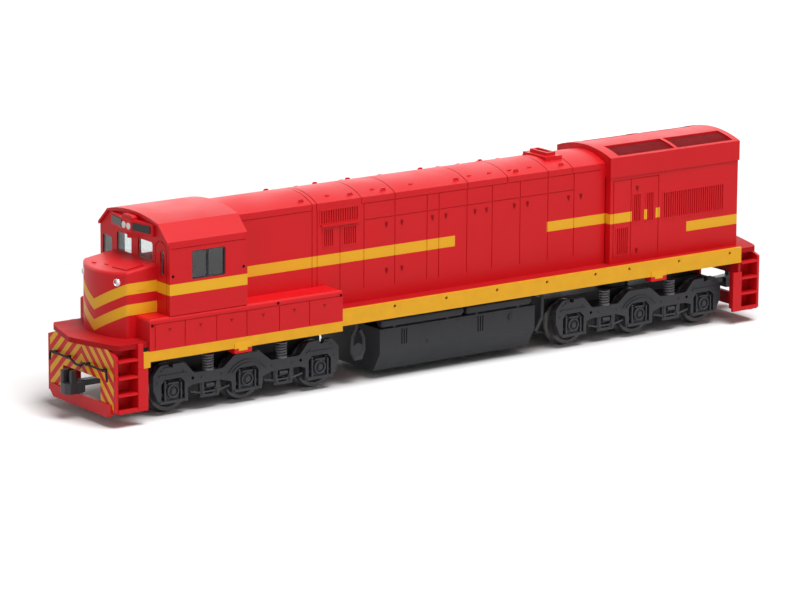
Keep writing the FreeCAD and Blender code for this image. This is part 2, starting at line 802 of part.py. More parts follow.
def equipment_box():
    # Left box beside the nose, under the cab and along the hood, with a skirt outside the deck
    plan = [
        (box_rear, hood_half, 0),
        (cab_rear, hood_half, 0),
        (cab_rear, nose_half, 0),
        (box_front, nose_half, 0),
        (box_front, half_width, 0),
        (box_rear, half_width, 0),
    ]
    upper = prism(rounded(plan, point_xy), Vector(0, 0, deck_top), Vector(0, 0, box_top - deck_top))
    skirt = block(box_rear, box_front, deck_half, half_width, low_sill_top, deck_top + 0.5)
    body = fused([upper, skirt])
    rim = [edge for edge in body.Edges if is_box_rim(edge)]
    body = body.makeFillet(box_edge, rim)
    places = [box_front - part * (box_front - box_rear) for part in box_seams]
    seam_top = box_top - box_seam_drop + seam_width
    grooves = side_seams(places, half_width, low_sill_top - 1, seam_top)
    top_seam = block(box_rear + 1, box_front - 1, half_width - seam_depth, half_width + 1,
                     seam_top - seam_width, seam_top)
    return body.cut(Part.makeCompound([top_seam] + grooves))


def is_box_rim(edge):
    # The box's top edges along its outer side and across both ends
    box = edge.BoundBox
    level = abs(box.ZMin - box_top) < 0.01 and abs(box.ZMax - box_top) < 0.01
    along_side = box.YMin > half_width - 0.1
    across_end = box.XMax - box.XMin < 0.1 and (box.XMax < box_rear + 0.1 or box.XMin > box_front - 0.1)
    return level and (along_side or across_end)


def nose():
    # Short nose: an arc across its front, round corners and a top that rises to the cab
    left = Vector(nose_corner_x, nose_half, 0)
    right = Vector(nose_corner_x, -nose_half, 0)
    tip = Vector(nose_corner_x + nose_tip, 0, 0)
    rear_right = Vector(cab_front, -nose_half, 0)
    rear_left = Vector(cab_front, nose_half, 0)
    plan = Part.Wire([
        Part.LineSegment(rear_left, left).toShape(),
        Part.Arc(left, tip, right).toShape(),
        Part.LineSegment(right, rear_right).toShape(),
        Part.LineSegment(rear_right, rear_left).toShape(),
    ])
    body = prism(plan, Vector(0, 0, deck_top), Vector(0, 0, nose_rear_top + 2 - deck_top))
    corners = [edge for edge in body.Edges if is_nose_corner(edge)]
    body = body.makeFillet(nose_corner, corners)
    front = nose_corner_x + nose_tip
    slope = (nose_rear_top - nose_front_top) / (front - cab_front)
    ahead = front + 4
    above = [
        (cab_front - 1, nose_rear_top + slope),
        (ahead, nose_front_top - slope * 4),
        (ahead, nose_rear_top + 6),
        (cab_front - 1, nose_rear_top + 6),
    ]
    body = body.cut(prism(polygon(above, point_xz), Vector(0, -nose_half - 1, 0), Vector(0, 2 * nose_half + 2, 0)))
    rim = [edge for edge in body.Edges if is_nose_rim(edge)]
    body = body.makeFillet(nose_edge, rim)
    sockets = []
    for side in (-1, 1):
        start = Vector(nose_corner_x - 1, side * marker_y, marker_z)
        sockets.append(cylinder(marker_radius, start, Vector(nose_tip + 3, 0, 0)))
    return body.cut(Part.makeCompound(sockets))


def is_nose_corner(edge):
    # The two upright edges where the front arc meets the sides
    box = edge.BoundBox
    upright = box.ZMax - box.ZMin > 5
    return upright and abs(box.XMin - nose_corner_x) < 0.1


def is_nose_rim(edge):
    # Edges of the nose's top, apart from the one against the cab
    box = edge.BoundBox
    return box.ZMin > nose_front_top - 1 and box.XMax > cab_front + 0.1


def marker_lens(side):
    face_x = nose_corner_x + nose_tip * (1 - (marker_y / nose_half) ** 2)
    start = Vector(nose_corner_x - 1, side * marker_y, marker_z)
    return cylinder(marker_radius, start, Vector(face_x + marker_stand - start.x, 0, 0))


def cab_section(drop):
    # Cab outline across: upright sides, sloping cants and an arched roof, lowered by drop
    left = [Vector(0, cab_half, box_top), Vector(0, cab_half, eave_z - drop), Vector(0, break_y, break_z - drop)]
    right = [Vector(0, -corner.y, corner.z) for corner in reversed(left)]
    edges = [
        Part.LineSegment(left[0], left[1]).toShape(),
        Part.LineSegment(left[1], left[2]).toShape(),
        Part.Arc(left[2], Vector(0, 0, cab_crest - drop), right[0]).toShape(),
        Part.LineSegment(right[0], right[1]).toShape(),
        Part.LineSegment(right[1], right[2]).toShape(),
        Part.LineSegment(right[2], left[0]).toShape(),
    ]
    return Part.Wire(edges)


def window_outline(a0, a1, z0, z1, inset):
    r = window_corner
    return [
        (a0 + inset, z0 + inset, r),
        (a1 - inset, z0 + inset, r),
        (a1 - inset, z1 - inset, r),
        (a0 + inset, z1 - inset, r),
    ]


def end_pane(sizes, side, x0, thick, inset=0.0):
    inner, outer, sill_drop, head_drop = sizes
    low, high = sorted((side * inner, side * outer))
    wire = rounded(window_outline(low, high, eave_z - sill_drop, eave_z - head_drop, inset), point_yz)
    return prism(wire, Vector(x0, 0, 0), Vector(thick, 0, 0))


def side_pane(x0, x1, z0, z1, y0, thick, inset=0.0):
    wire = rounded(window_outline(x0, x1, z0, z1, inset), point_xz)
    return prism(wire, Vector(0, y0, 0), Vector(0, thick, 0))


def from_middle(window):
    # An end window that is measured in from the cab's side, as places from the middle line
    inner_in, outer_in, sill_drop, head_drop = window
    return cab_half - inner_in, cab_half - outer_in, sill_drop, head_drop


def front_windows():
    outer_in, sill_drop, head_drop = front_window
    middle = (front_window_gap, cab_half - outer_in, sill_drop, head_drop)
    return [(middle, 1), (middle, -1), (from_middle(far_window), -1), (from_middle(door_window), 1)]


def rear_windows():
    return [(from_middle(rear_window), 1), (from_middle(rear_window), -1)]


def side_opening():
    # Rear and front x of the side window, then its sill and head heights
    rear, front, sill_drop, head_drop = side_window
    return cab_rear + rear, cab_rear + front, eave_z - sill_drop, eave_z - head_drop


def cab_shell():
    # Four walls and a floor, with the windows cut and the roof left to its own piece
    shell = prism(cab_section(roof_thick), Vector(cab_rear, 0, 0), Vector(cab_front - cab_rear, 0, 0))
    inside = block(cab_rear + cab_wall, cab_front - cab_wall, -cab_half + cab_wall, cab_half - cab_wall,
                   box_top + cab_floor, cab_crest + 1)
    holes = [inside]
    for sizes, side in front_windows():
        holes.append(end_pane(sizes, side, cab_front - cab_wall - 1, cab_wall + 2))
    for sizes, side in rear_windows():
        holes.append(end_pane(sizes, side, cab_rear - 1, cab_wall + 2))
    for side in (-1, 1):
        start = side * cab_half - cab_wall - 1
        holes.append(side_pane(*side_opening(), start, 2 * cab_wall + 2))
    holes.append(door_groove())
    eave_seam = eave_z - cab_seam_drop
    for side in (-1, 1):
        face = side * cab_half
        holes.append(block(cab_rear + 0.6, cab_front - 0.6, min(face, face - side * seam_depth),
                           max(face, face - side * seam_depth), eave_seam, eave_seam + seam_width))
    return shell.cut(Part.makeCompound(holes))


def door_groove():
    # Outline of the narrow front door, round-topped, sunk as a groove in the cab front
    def outline(grow):
        half = door_half + grow
        shoulder = door_top - door_half
        foot_right = Vector(0, door_centre - half, box_top + 0.4)
        foot_left = Vector(0, door_centre + half, box_top + 0.4)
        shoulder_left = Vector(0, door_centre + half, shoulder)
        shoulder_right = Vector(0, door_centre - half, shoulder)
        edges = [
            Part.LineSegment(foot_right, foot_left),
            Part.LineSegment(foot_left, shoulder_left),
            Part.Arc(shoulder_left, Vector(0, door_centre, door_top + grow), shoulder_right),
            Part.LineSegment(shoulder_right, foot_right),
        ]
        return Part.Wire([edge.toShape() for edge in edges])
    start = Vector(cab_front - door_relief, 0, 0)
    run = Vector(door_relief + 1, 0, 0)
    return prism(outline(0.25), start, run).cut(prism(outline(0.0), start, run))


def cab_roof():
    length = cab_front - cab_rear + visor
    outer = prism(cab_section(0), Vector(cab_rear, 0, 0), Vector(length, 0, 0))
    inner = prism(cab_section(roof_thick), Vector(cab_rear - 1, 0, 0), Vector(length + 2, 0, 0))
    return outer.cut(inner)


def side_sash():
    # Left window frame with a middle post, for two sliding panes
    x0, x1, z0, z1 = side_opening()
    y0 = cab_half - cab_wall
    frame = side_pane(x0, x1, z0, z1, y0, cab_wall - 0.25)
    middle = (x0 + x1) / 2
    sill = z0 + sash_border
    head = z1 - sash_border
    rear = side_pane(x0 + sash_border, middle - sash_post / 2, sill, head, y0 - 1, cab_wall + 2)
    front = side_pane(middle + sash_post / 2, x1 - sash_border, sill, head, y0 - 1, cab_wall + 2)
    return frame.cut(Part.makeCompound([rear, front]))


def glazing():
    # Thin panes that fill the window openings
    panes = []
    depth = (cab_wall - pane_thick) / 2
    for sizes, side in front_windows():
        panes.append(end_pane(sizes, side, cab_front - depth - pane_thick, pane_thick))
    for sizes, side in rear_windows():
        panes.append(end_pane(sizes, side, cab_rear + depth, pane_thick))
    x0, x1, z0, z1 = side_opening()
    middle = (x0 + x1) / 2
    y0 = cab_half - cab_wall + 0.1
    for a0, a1 in ((x0 + sash_border, middle - sash_post / 2), (middle + sash_post / 2, x1 - sash_border)):
        pane = side_pane(a0, a1, z0 + sash_border, z1 - sash_border, y0, pane_thick)
        panes += [pane, other_side(pane)]
    return panes


def lamp_housing():
    # Central headlight block with an angled number board panel on each side
    plan = [
        (cab_front, -housing_outer),
        (cab_front + housing_outer_stand, -housing_outer),
        (cab_front + housing_inner_stand, -board_inner),
        (cab_front + housing_inner_stand + 0.3, -board_inner + 0.2),
        (cab_front + housing_inner_stand + 0.3, board_inner - 0.2),
        (cab_front + housing_inner_stand, board_inner),
        (cab_front + housing_outer_stand, housing_outer),
        (cab_front, housing_outer),
    ]
    body = prism(polygon(plan, point_xy), Vector(0, 0, housing_bottom),
                 Vector(0, 0, housing_top - housing_bottom))
    keel = [
        (cab_front, -board_inner),
        (cab_front + housing_inner_stand, 0),
        (cab_front, board_inner),
    ]
    keel_body = prism(polygon(keel, point_xy), Vector(0, 0, housing_bottom - keel_drop),
                      Vector(0, 0, keel_drop + 0.2))
    bump_outline = [
        (-board_inner - 0.3, housing_top - 0.5, 0),
        (board_inner + 0.3, housing_top - 0.5, 0),
        (board_inner + 0.3, bump_top, 0.9),
        (-board_inner - 0.3, bump_top, 0.9),
    ]
    bump = prism(rounded(bump_outline, point_yz), Vector(cab_front, 0, 0), Vector(housing_inner_stand, 0, 0))
    sockets = []
    for side in (-1, 1):
        start = Vector(cab_front + 0.6, side * lamp_half_gap, lamp_z)
        sockets.append(cylinder(lamp_radius, start, Vector(5, 0, 0)))
    solid = fused([body, keel_body, bump]).cut(Part.makeCompound(sockets))
    return solid


def headlight_lens(side):
    start = Vector(cab_front + 0.6, side * lamp_half_gap, lamp_z)
    return cylinder(lamp_radius, start, Vector(housing_inner_stand - 0.3 + lamp_stand, 0, 0))


def number_board():
    # Thin left board lying on the angled panel of the housing
    run = Vector(housing_outer_stand - housing_inner_stand, housing_outer - board_inner, 0)
    normal = Vector(run.y, -run.x, 0).normalize()
    start = Vector(cab_front + housing_inner_stand, board_inner, board_bottom)
    first = start + run * 0.05
    last = start + run * ((board_outer - board_inner) / (housing_outer - board_inner))
    corners = [first, last, last + normal * board_thick, first + normal * board_thick]
    return prism(Part.makePolygon(corners + [corners[0]]), Vector(0, 0, 0), Vector(0, 0, board_height))


def slotted_panel(sizes, face_y, thick):
    # A panel with upright slots, its outer face at face_y
    x0, x1, z0, z1, slot_pitch = sizes
    panel = block(x0, x1, face_y - thick, face_y, z0, z1)
    inside = x1 - x0 - 2 * louvre_border
    slots = round(inside / slot_pitch)
    pitch = inside / slots
    cuts = []
    for index in range(slots):
        start = x0 + louvre_border + (index + 0.3) * pitch
        cuts.append(block(start, start + 0.5 * pitch, face_y - thick / 2, face_y + 1,
                          z0 + louvre_border, z1 - louvre_border))
    return panel.cut(Part.makeCompound(cuts))


def pocket_for(sizes, face_y, depth):
    x0, x1, z0, z1, slot_pitch = sizes
    return block(x0, x1, face_y - depth, face_y + 2, z0, z1)


def hood_panels():
    # Rear and front x, foot and head heights and slot pitch of each louvre panel on the long hood
    placed = []
    for rear, front, foot_drop, head_drop, slot_pitch in (upper_louvre, left_louvre, right_louvre):
        placed.append((cab_rear - rear * hood_length, cab_rear - front * hood_length,
                       hood_edge_z - foot_drop, hood_edge_z - head_drop, slot_pitch))
    return placed


def radiator_panels():
    # The same for each grille panel on the radiator section
    placed = []
    for rear, front, foot, head, slot_pitch in (side_grille, small_grille, small_grille_b, low_grille):
        placed.append((radiator_front - rear * radiator_length, radiator_front - front * radiator_length,
                       deck_top + foot, deck_top + head, slot_pitch))
    return placed


def hood_louvre_panels():
    return [slotted_panel(sizes, hood_half + louvre_relief, louvre_thick) for sizes in hood_panels()]


def long_hood():
    # Hood shell with an open base, seams between its doors and pockets for the louvre panels
    outer = prism(arched(hood_half, deck_top, hood_edge_z, hood_crest), Vector(radiator_front, 0, 0),
                  Vector(hood_length, 0, 0))
    inner = prism(arched(hood_half - hood_wall, deck_top - 1, hood_edge_z - hood_wall, hood_crest - hood_wall),
                  Vector(radiator_front - 1, 0, 0), Vector(hood_length + 2, 0, 0))
    shell = outer.cut(inner)
    cuts = []
    door_head = hood_edge_z - head_seam_drop
    side_places = [cab_rear - part * hood_length for part in hood_seams]
    roof_places = [cab_rear - part * hood_length for part in roof_seams]
    for groove in side_seams(side_places, hood_half, deck_top + door_foot, door_head):
        cuts += [groove, other_side(groove)]
    # The seam under the roof stops on both sides of the upper louvres; a lower one runs behind them
    for span in ((radiator_front + 1.5, roof_places[2]), (roof_places[0], cab_rear - 0.5)):
        groove = block(span[0], span[1], hood_half - seam_depth, hood_half + 1, door_head, door_head + seam_width)
        cuts += [groove, other_side(groove)]
    lower_z = hood_edge_z - lower_seam_drop
    lower_head = block(side_places[-1], side_places[3], hood_half - seam_depth, hood_half + 1,
                       lower_z, lower_z + seam_width)
    cuts += [lower_head, other_side(lower_head)]
    depth = louvre_thick - louvre_relief
    for sizes in hood_panels():
        pocket = pocket_for(sizes, hood_half, depth)
        cuts += [pocket, other_side(pocket)]
    ring_outer = arched(hood_half + 1, door_head, hood_edge_z + 1, hood_crest + 1)
    ring_inner = arched(hood_half - seam_depth, door_head - 1, hood_edge_z - seam_depth, hood_crest - seam_depth)
    for x in roof_places:
        start = Vector(x - seam_width / 2, 0, 0)
        ring = prism(ring_outer, start, Vector(seam_width, 0, 0))
        cuts.append(ring.cut(prism(ring_inner, start - Vector(1, 0, 0), Vector(seam_width + 2, 0, 0))))
    shell = shell.cut(Part.makeCompound(cuts))
    x0, x1, z0, z1, slot_pitch = hood_panels()[0]
    ledge = block(x0, x1 - 0.6, hood_half - 0.3, hood_half + ledge_stand, z0 - ledge_height, z0)
    return fused([shell, ledge, other_side(ledge)])


def roof_height(y, half, edge_z, crest_z):
    # Height of an arched roof at distance y from the middle line
    rise = crest_z - edge_z
    radius = (half * half + rise * rise) / (2 * rise)
    return crest_z - radius + math.sqrt(radius * radius - y * y)


def lifting_eyes():
    eyes = []
    seat = roof_height(eye_y, hood_half, hood_edge_z, hood_crest)
    for part in eye_places:
        x = cab_rear - part * hood_length
        for side in (-1, 1):
            outline = [
                (x - eye_radius - 0.4, seat - 0.3, 0),
                (x + eye_radius + 0.4, seat - 0.3, 0),
                (x + eye_radius * 0.7, seat + eye_radius, 0.4),
                (x - eye_radius * 0.7, seat + eye_radius, 0.4),
            ]
            eyes.append(prism(rounded(outline, point_xz), Vector(0, side * eye_y - eye_thick / 2, 0),
                              Vector(0, eye_thick, 0)))
    roof = prism(arched(hood_half, deck_top, hood_edge_z, hood_crest), Vector(radiator_front, 0, 0),
                 Vector(hood_length, 0, 0))
    return [eye.cut(roof) for eye in eyes]


def exhaust_stack():
    # Two-step rectangular stack across the hood, open at its top and seated on the arched roof
    def step(inset, low, high):
        half_length = stack_length / 2 - inset
        half = stack_width / 2 - inset
        return block(stack_x - half_length, stack_x + half_length, -half, half, low, high)
    base = step(0, hood_edge_z, stack_base_top)
    body = step(stack_inset, hood_edge_z, stack_top)
    mouth = step(stack_inset + stack_wall, stack_top - stack_mouth, stack_top + 1)
    roof = prism(arched(hood_half, deck_top, hood_edge_z, hood_crest), Vector(stack_x - stack_length, 0, 0),
                 Vector(2 * stack_length, 0, 0))
    return fused([base, body]).cut(mouth).cut(roof)


def radiator_shell():
    # Wider rear section with an overhanging upper part, roof recesses and grille pockets
    upper = prism(arched(radiator_half, radiator_step_z, radiator_edge_z, radiator_crest),
                  Vector(radiator_rear - radiator_step, 0, 0), Vector(radiator_length + radiator_step, 0, 0))
    lower_half = radiator_half - radiator_step
    lower = block(radiator_rear, radiator_front - radiator_step, -lower_half, lower_half,
                  deck_top, radiator_step_z + 1)
    solid = fused([upper, lower])
    roof_depth = radiator_wall + recess_depth + grille_thick
    inner = prism(arched(lower_half - radiator_wall, deck_top - 1, radiator_edge_z - roof_depth,
                         radiator_crest - roof_depth),
                  Vector(radiator_rear + radiator_wall, 0, 0), Vector(radiator_length - 2 * radiator_wall, 0, 0))
    weight_half = hood_half - hood_wall
    doorway = block(radiator_front - radiator_wall - 1, radiator_front + 1, -weight_half, weight_half,
                    deck_top - 1, hood_edge_z - hood_wall)
    cuts = [inner, doorway]
    for span in recess_spans():
        recess = arched_plate(span, 0, recess_depth + grille_thick, 2.0)
        cuts += [recess, other_side(recess)]
    for sizes in radiator_panels():
        pocket = pocket_for(sizes, lower_half, louvre_thick - louvre_relief)
        cuts += [pocket, other_side(pocket)]
    solid = solid.cut(Part.makeCompound(cuts))
    door_top_z = radiator_step_z - radiator_door_drop
    places = [radiator_front - part * radiator_length for part in radiator_seams]
    grooves = []
    for x in places:
        grooves.append(block(x, x + seam_width, lower_half - seam_depth, lower_half + 1,
                             deck_top + radiator_door_foot, door_top_z))
    grooves.append(block(places[-1], places[0] + seam_width, lower_half - seam_depth, lower_half + 1,
                         door_top_z - seam_width, door_top_z))
    groove = fused(grooves)
    return solid.cut(Part.makeCompound([groove, other_side(groove)]))


def recess_spans():
    middle = (recess_front + recess_rear) / 2
    return [(middle + recess_bar / 2, recess_front), (recess_rear, middle - recess_bar / 2)]


def arched_plate(span, top_drop, bottom_drop, rise=0.0):
    # A curved slab on the left of the crest, between two depths below the radiator roof
    width = span[1] - span[0]
    outer = prism(arched(radiator_half, deck_top, radiator_edge_z - top_drop + rise, radiator_crest - top_drop + rise),
                  Vector(span[0], 0, 0), Vector(width, 0, 0))
    inner = prism(arched(radiator_half, deck_top - 1, radiator_edge_z - bottom_drop, radiator_crest - bottom_drop),
                  Vector(span[0] - 1, 0, 0), Vector(width + 2, 0, 0))
    keep = block(span[0] - 1, span[1] + 1, recess_inner, recess_outer, deck_top, radiator_crest + 5)
    return outer.cut(inner).common(keep)


def roof_grille(span):
    # Curved grille panel in a roof recess, with slots across
    panel = arched_plate(span, recess_depth, recess_depth + grille_thick)
    border = 0.7
    pitch = (span[1] - span[0] - 2 * border) / roof_slots
    cuts = []
    for index in range(roof_slots):
        start = span[0] + border + (index + 0.25) * pitch
        cuts.append(block(start, start + 0.5 * pitch, recess_inner + border, recess_outer - border,
                          hood_edge_z - 5, radiator_crest))
    return panel.cut(Part.makeCompound(cuts))


def radiator_side_panels():
    face = radiator_half - radiator_step + louvre_relief
    return [slotted_panel(sizes, face, louvre_thick) for sizes in radiator_panels()]


def weight():
    # One plain heavy block that fills the hoods over the deck
    half = hood_half - hood_wall - weight_clear
    return block(radiator_rear + radiator_wall + weight_clear, cab_rear - weight_back, -half, half,
                 deck_top, hood_edge_z - hood_wall - weight_clear)


# Tank, air reservoirs and small fittings

def fuel_tank():
    # Tank with a knee in each side and a saddle up to the centre sill
    side = [
        (centre_sill_half - 1, centre_sill_bottom, 0),
        (centre_sill_half - 1, tank_top, 0),
        (tank_half, tank_top, tank_edge),
        (tank_half, tank_knee, 0),
        (tank_foot_half, tank_bottom, tank_edge),
    ]
    mirrored = [(-y, z, radius) for y, z, radius in reversed(side)]
    length = tank_front - tank_rear
    tank = prism(rounded(side[::-1] + mirrored[::-1], point_yz), Vector(tank_rear, 0, 0), Vector(length, 0, 0))
    gauge_top = tank_top - gauge_drop
    grooves = []
    for part in gauge_places:
        for step in (-1, 0, 1):
            low = tank_front - part * length + step * gauge_pitch - gauge_groove / 2
            groove = block(low, low + gauge_groove, tank_half - gauge_depth, tank_half + 1,
                           gauge_top - gauge_height, gauge_top)
            grooves += [groove, other_side(groove)]
    return tank.cut(Part.makeCompound(grooves))


def reservoir(span):
    # Left air reservoir with domed ends, held by two straps on the tank
    front, rear = span
    z = tank_top + reservoir_seat + reservoir_radius
    r = reservoir_radius
    outline = [
        (rear, 0, 0),
        (rear, r * 0.7, 0),
        (rear + 0.7, r, 0),
        (front - 0.7, r, 0),
        (front, r * 0.7, 0),
        (front, 0, 0),
    ]
    body = Part.Face(rounded(outline, point_xz)).revolve(Vector(0, 0, 0), Vector(1, 0, 0), 360)
    body.translate(Vector(0, reservoir_y, z))
    straps = []
    inset = strap_place * (front - rear)
    for x in (rear + inset, front - inset):
        straps.append(block(x, x + strap_width, reservoir_y - 0.8, reservoir_y + 0.8, tank_top, z))
    return fused([body] + straps)


def jacking_pad(x, band_bottom):
    # Left pad under the sill, with a plate over the sill's face
    foot = block(x - pad_length / 2, x + pad_length / 2, deck_half - pad_depth, half_width + 0.3,
                 band_bottom - pad_drop, band_bottom)
    plate = block(x - pad_length / 2 + 0.2, x + pad_length / 2 - 0.2, half_width, half_width + 0.25,
                  band_bottom - 0.5, band_bottom + 1.4)
    return fused([foot, plate])


def bent_rod(points, radius, across):
    # An eight-sided rod with mitred bends, swept along straight runs in one plane; across is that plane's normal
    run = (points[1] - points[0]).normalize()
    aside = run.cross(across)
    corners = []
    for number in range(8):
        angle = math.radians(22.5 + 45 * number)
        corners.append(points[0] + across * (radius * math.cos(angle)) + aside * (radius * math.sin(angle)))
    section = Part.makePolygon(corners + [corners[0]])
    path = Part.makePolygon(points)
    rod = path.makePipeShell([section], True, False, 1)
    return rod


def cable_loop():
    # Hanging loop of thick cable between the front truck and the tank, left side, round a flat disc
    low = loop_bottom
    outline = [
        (0.6, deck_bottom),
        (0.6, low + 8.4),
        (1.9, low + 6.2),
        (2.1, low + 2.2),
        (1.0, low),
        (-1.1, low),
        (-2.0, low + 2.2),
        (-1.9, low + 5.6),
        (-0.6, low + 8.0),
    ]
    points = [Vector(loop_x + x, loop_y, z) for x, z in outline]
    rod = bent_rod(points, pipe_radius, Vector(0, 1, 0))
    disc = cylinder(2.0, Vector(loop_x, loop_y - 0.25, low + 2.2), Vector(0, 0.5, 0))
    return fused([rod, disc])


def rear_hanger():
    # Brake pipe behind the tank, left side
    points = [
        Vector(hanger_x, loop_y, deck_bottom),
        Vector(hanger_x, loop_y, tank_knee + 2.6),
        Vector(hanger_x + 2.2, loop_y, tank_knee - 0.9),
    ]
    return bent_rod(points, pipe_radius, Vector(0, 1, 0))


def uncoupling_lever(facing):
    # Bent wire across the end plate with drooping ends, in three brackets
    x = pilot_face + lever_stand
    points = [
        Vector(x, -lever_half, lever_z - 2.4),
        Vector(x, -lever_half + 0.4, lever_z),
        Vector(x, -4.0, lever_z),
        Vector(x, -1.2, lever_z - 1.0),
        Vector(x, 1.2, lever_z - 1.0),
        Vector(x, 2.8, lever_z),
        Vector(x, lever_half - 0.4, lever_z),
        Vector(x, lever_half, lever_z - 2.8),
    ]
    pieces = [bent_rod(points, lever_radius, Vector(1, 0, 0))]
    for y in (-lever_half + 2.0, -5.5, 4.2, lever_half - 2.0):
        pieces.append(block(pilot_face, x + 0.2, y - 0.3, y + 0.3, lever_z - 0.4, lever_z + 0.4))
    solid = fused(pieces)
    if facing < 0:
        solid = turned_round(solid)
    return solid


def rear_lamps():
    # Rear headlight housing high on the end of the radiator section, with two lenses
    face = radiator_rear - radiator_step
    z = radiator_step_z + 2.8
    outline = [(-2.7, z - 1.3, 0.6), (2.7, z - 1.3, 0.6), (2.7, z + 1.3, 0.6), (-2.7, z + 1.3, 0.6)]
    housing = prism(rounded(outline, point_yz), Vector(face - 0.9, 0, 0), Vector(0.9, 0, 0))
    lenses = []
    for side in (-1, 1):
        lenses.append(cylinder(lamp_radius, Vector(face - 0.4, side * lamp_half_gap, z), Vector(-0.5 - lamp_stand, 0, 0)))
    return housing.cut(Part.makeCompound(lenses)), lenses


def both(shape):
    return shape, other_side(shape)


def write_trucks():
    for end, truck_x, facing in (("front", front_truck_x, 1), ("rear", rear_truck_x, -1)):
        save(end + "_truck_gearcase", gearcase(truck_x, facing))
        left = side_frame(truck_x)
        gear = brake_gear(truck_x)
        save(end + "_truck_left_frame", fused([left] + gear))
        save(end + "_truck_right_frame", other_side(fused([left] + gear)))
        save(end + "_truck_springs", *truck_springs(truck_x))
        for number, step in ((1, 1), (2, 0), (3, -1)):
            save("%s_wheelset_%d" % (end, number), wheelset(truck_x + step * axle_pitch))
        save(end + "_coupler", coupler(facing))


def write_underframe():
    save("deck", deck())
    left, right = both(side_sill())
    save("left_side_sill", left)
    save("right_side_sill", right)
    save("centre_sill", centre_sill())
    for end, facing in (("front", 1), ("rear", -1)):
        save(end + "_pilot", pilot(facing))
        save(end + "_uncoupling_lever", uncoupling_lever(facing))
    steps = both(step_well())
    save("front_steps", *steps)
    save("rear_steps", *[turned_round(step) for step in steps])
    save("fuel_tank", fuel_tank())
    tanks = []
    front_span = (tank_front - reservoir_front, reservoir_break + reservoir_gap)
    rear_span = (reservoir_break - reservoir_gap, tank_rear + reservoir_rear)
    for span in (front_span, rear_span):
        tanks += both(reservoir(span))
    save("air_reservoirs", *tanks)
    pads = both(jacking_pad(front_truck_x + pad_front_ahead, low_sill_bottom))
    pads += both(jacking_pad(rear_truck_x - pad_rear_behind, sill_bottom))
    save("jacking_pads", *pads)
    save("underframe_pipes", *(both(cable_loop()) + both(rear_hanger())))


def write_body():
    left, right = both(equipment_box())
    save("left_equipment_box", left)
    save("right_equipment_box", right)
    save("short_nose", nose())
    save("cab_shell", cab_shell())
    save("cab_roof", cab_roof())
    save("cab_side_sashes", *both(side_sash()))
    save("cab_glazing", *glazing())
    save("headlight_housing", lamp_housing())
    save("number_boards", *both(number_board()))
    save("long_hood", long_hood())
    louvres = []
    for panel in hood_louvre_panels():
        louvres += both(panel)
    save("hood_louvres", *louvres)
    save("lifting_eyes", *lifting_eyes())
    save("exhaust_stack", exhaust_stack())
    save("radiator_section", radiator_shell())
    grilles = []
    for panel in radiator_side_panels():
        grilles += both(panel)
    save("radiator_side_grilles", *grilles)
    roof_panels = []
    for span in recess_spans():
        roof_panels += both(roof_grille(span))
    save("radiator_roof_grilles", *roof_panels)
    save("hood_weight", weight())
    rear_housing, rear_lenses = rear_lamps()
    save("rear_lamp_housing", rear_housing)
    front_lenses = [headlight_lens(side) for side in (-1, 1)] + [marker_lens(side) for side in (-1, 1)]
    save("lamp_lenses", *(front_lenses + rear_lenses))


os.makedirs("parts", exist_ok=True)
write_trucks()
write_underframe()
write_body()
print("built", len(os.listdir("parts")), "pieces")
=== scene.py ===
import bmesh
import bpy
import math
from mathutils import Matrix, Vector


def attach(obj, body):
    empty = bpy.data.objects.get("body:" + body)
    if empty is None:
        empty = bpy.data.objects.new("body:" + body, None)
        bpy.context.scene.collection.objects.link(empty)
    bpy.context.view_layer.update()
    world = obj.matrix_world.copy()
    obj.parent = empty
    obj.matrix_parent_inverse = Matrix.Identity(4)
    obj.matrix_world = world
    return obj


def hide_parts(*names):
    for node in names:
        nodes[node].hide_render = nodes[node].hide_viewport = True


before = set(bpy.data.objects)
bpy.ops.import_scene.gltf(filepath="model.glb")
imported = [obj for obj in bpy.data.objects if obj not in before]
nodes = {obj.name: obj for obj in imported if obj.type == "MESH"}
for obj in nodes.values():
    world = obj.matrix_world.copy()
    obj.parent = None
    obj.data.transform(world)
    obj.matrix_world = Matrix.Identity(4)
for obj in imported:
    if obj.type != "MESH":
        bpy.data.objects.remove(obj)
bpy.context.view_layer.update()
mm = 0.001

# The camera stands where the photographer's did: off the nose's left corner, above the roof, a long way off
cameraValues = {
    "position": (0.73078, 1.00789, 0.30758),
    "azimuth": 144.28,
    "elevation": 13.12,
    "roll": 0.32,
    "lens": 206.03,
}


def linearColour(code):
    channels = [int(code[i:i + 2], 16) / 255 for i in (1, 3, 5)]
    return tuple(c / 12.92 if c <= 0.04045 else ((c + 0.055) / 1.055) ** 2.4 for c in channels) + (1.0,)


def addNode(tree, kind, settings=None, links=None):
    node = tree.nodes.new(kind)
    for name, value in (settings or {}).items():
        if isinstance(name, str) and name not in node.inputs:
            setattr(node, name, value)
        else:
            node.inputs[name].default_value = value
    for name, socket in (links or {}).items():
        tree.links.new(socket, node.inputs[name])
    return node


def mathNode(tree, operation, first, second=None, third=None):
    settings = {"operation": operation}
    links = {}
    for index, value in enumerate((first, second, third)):
        if isinstance(value, (int, float)):
            settings[index] = value
        elif value is not None:
            links[index] = value
    return addNode(tree, "ShaderNodeMath", settings, links).outputs[0]


def newMaterial(name):
    material = bpy.data.materials.new(name)
    material.use_nodes = True
    tree = material.node_tree
    tree.nodes.clear()
    shader = addNode(tree, "ShaderNodeBsdfPrincipled")
    addNode(tree, "ShaderNodeOutputMaterial", {}, {"Surface": shader.outputs[0]})
    return material, tree, shader


def millimetres(tree):
    # Object coordinates of the CAD nodes are the part frame's own, here in millimetres
    place = addNode(tree, "ShaderNodeTexCoord")
    scaled = addNode(tree, "ShaderNodeVectorMath", {"operation": "SCALE", "Scale": 1 / mm},
                     {0: place.outputs["Object"]})
    return scaled.outputs[0]


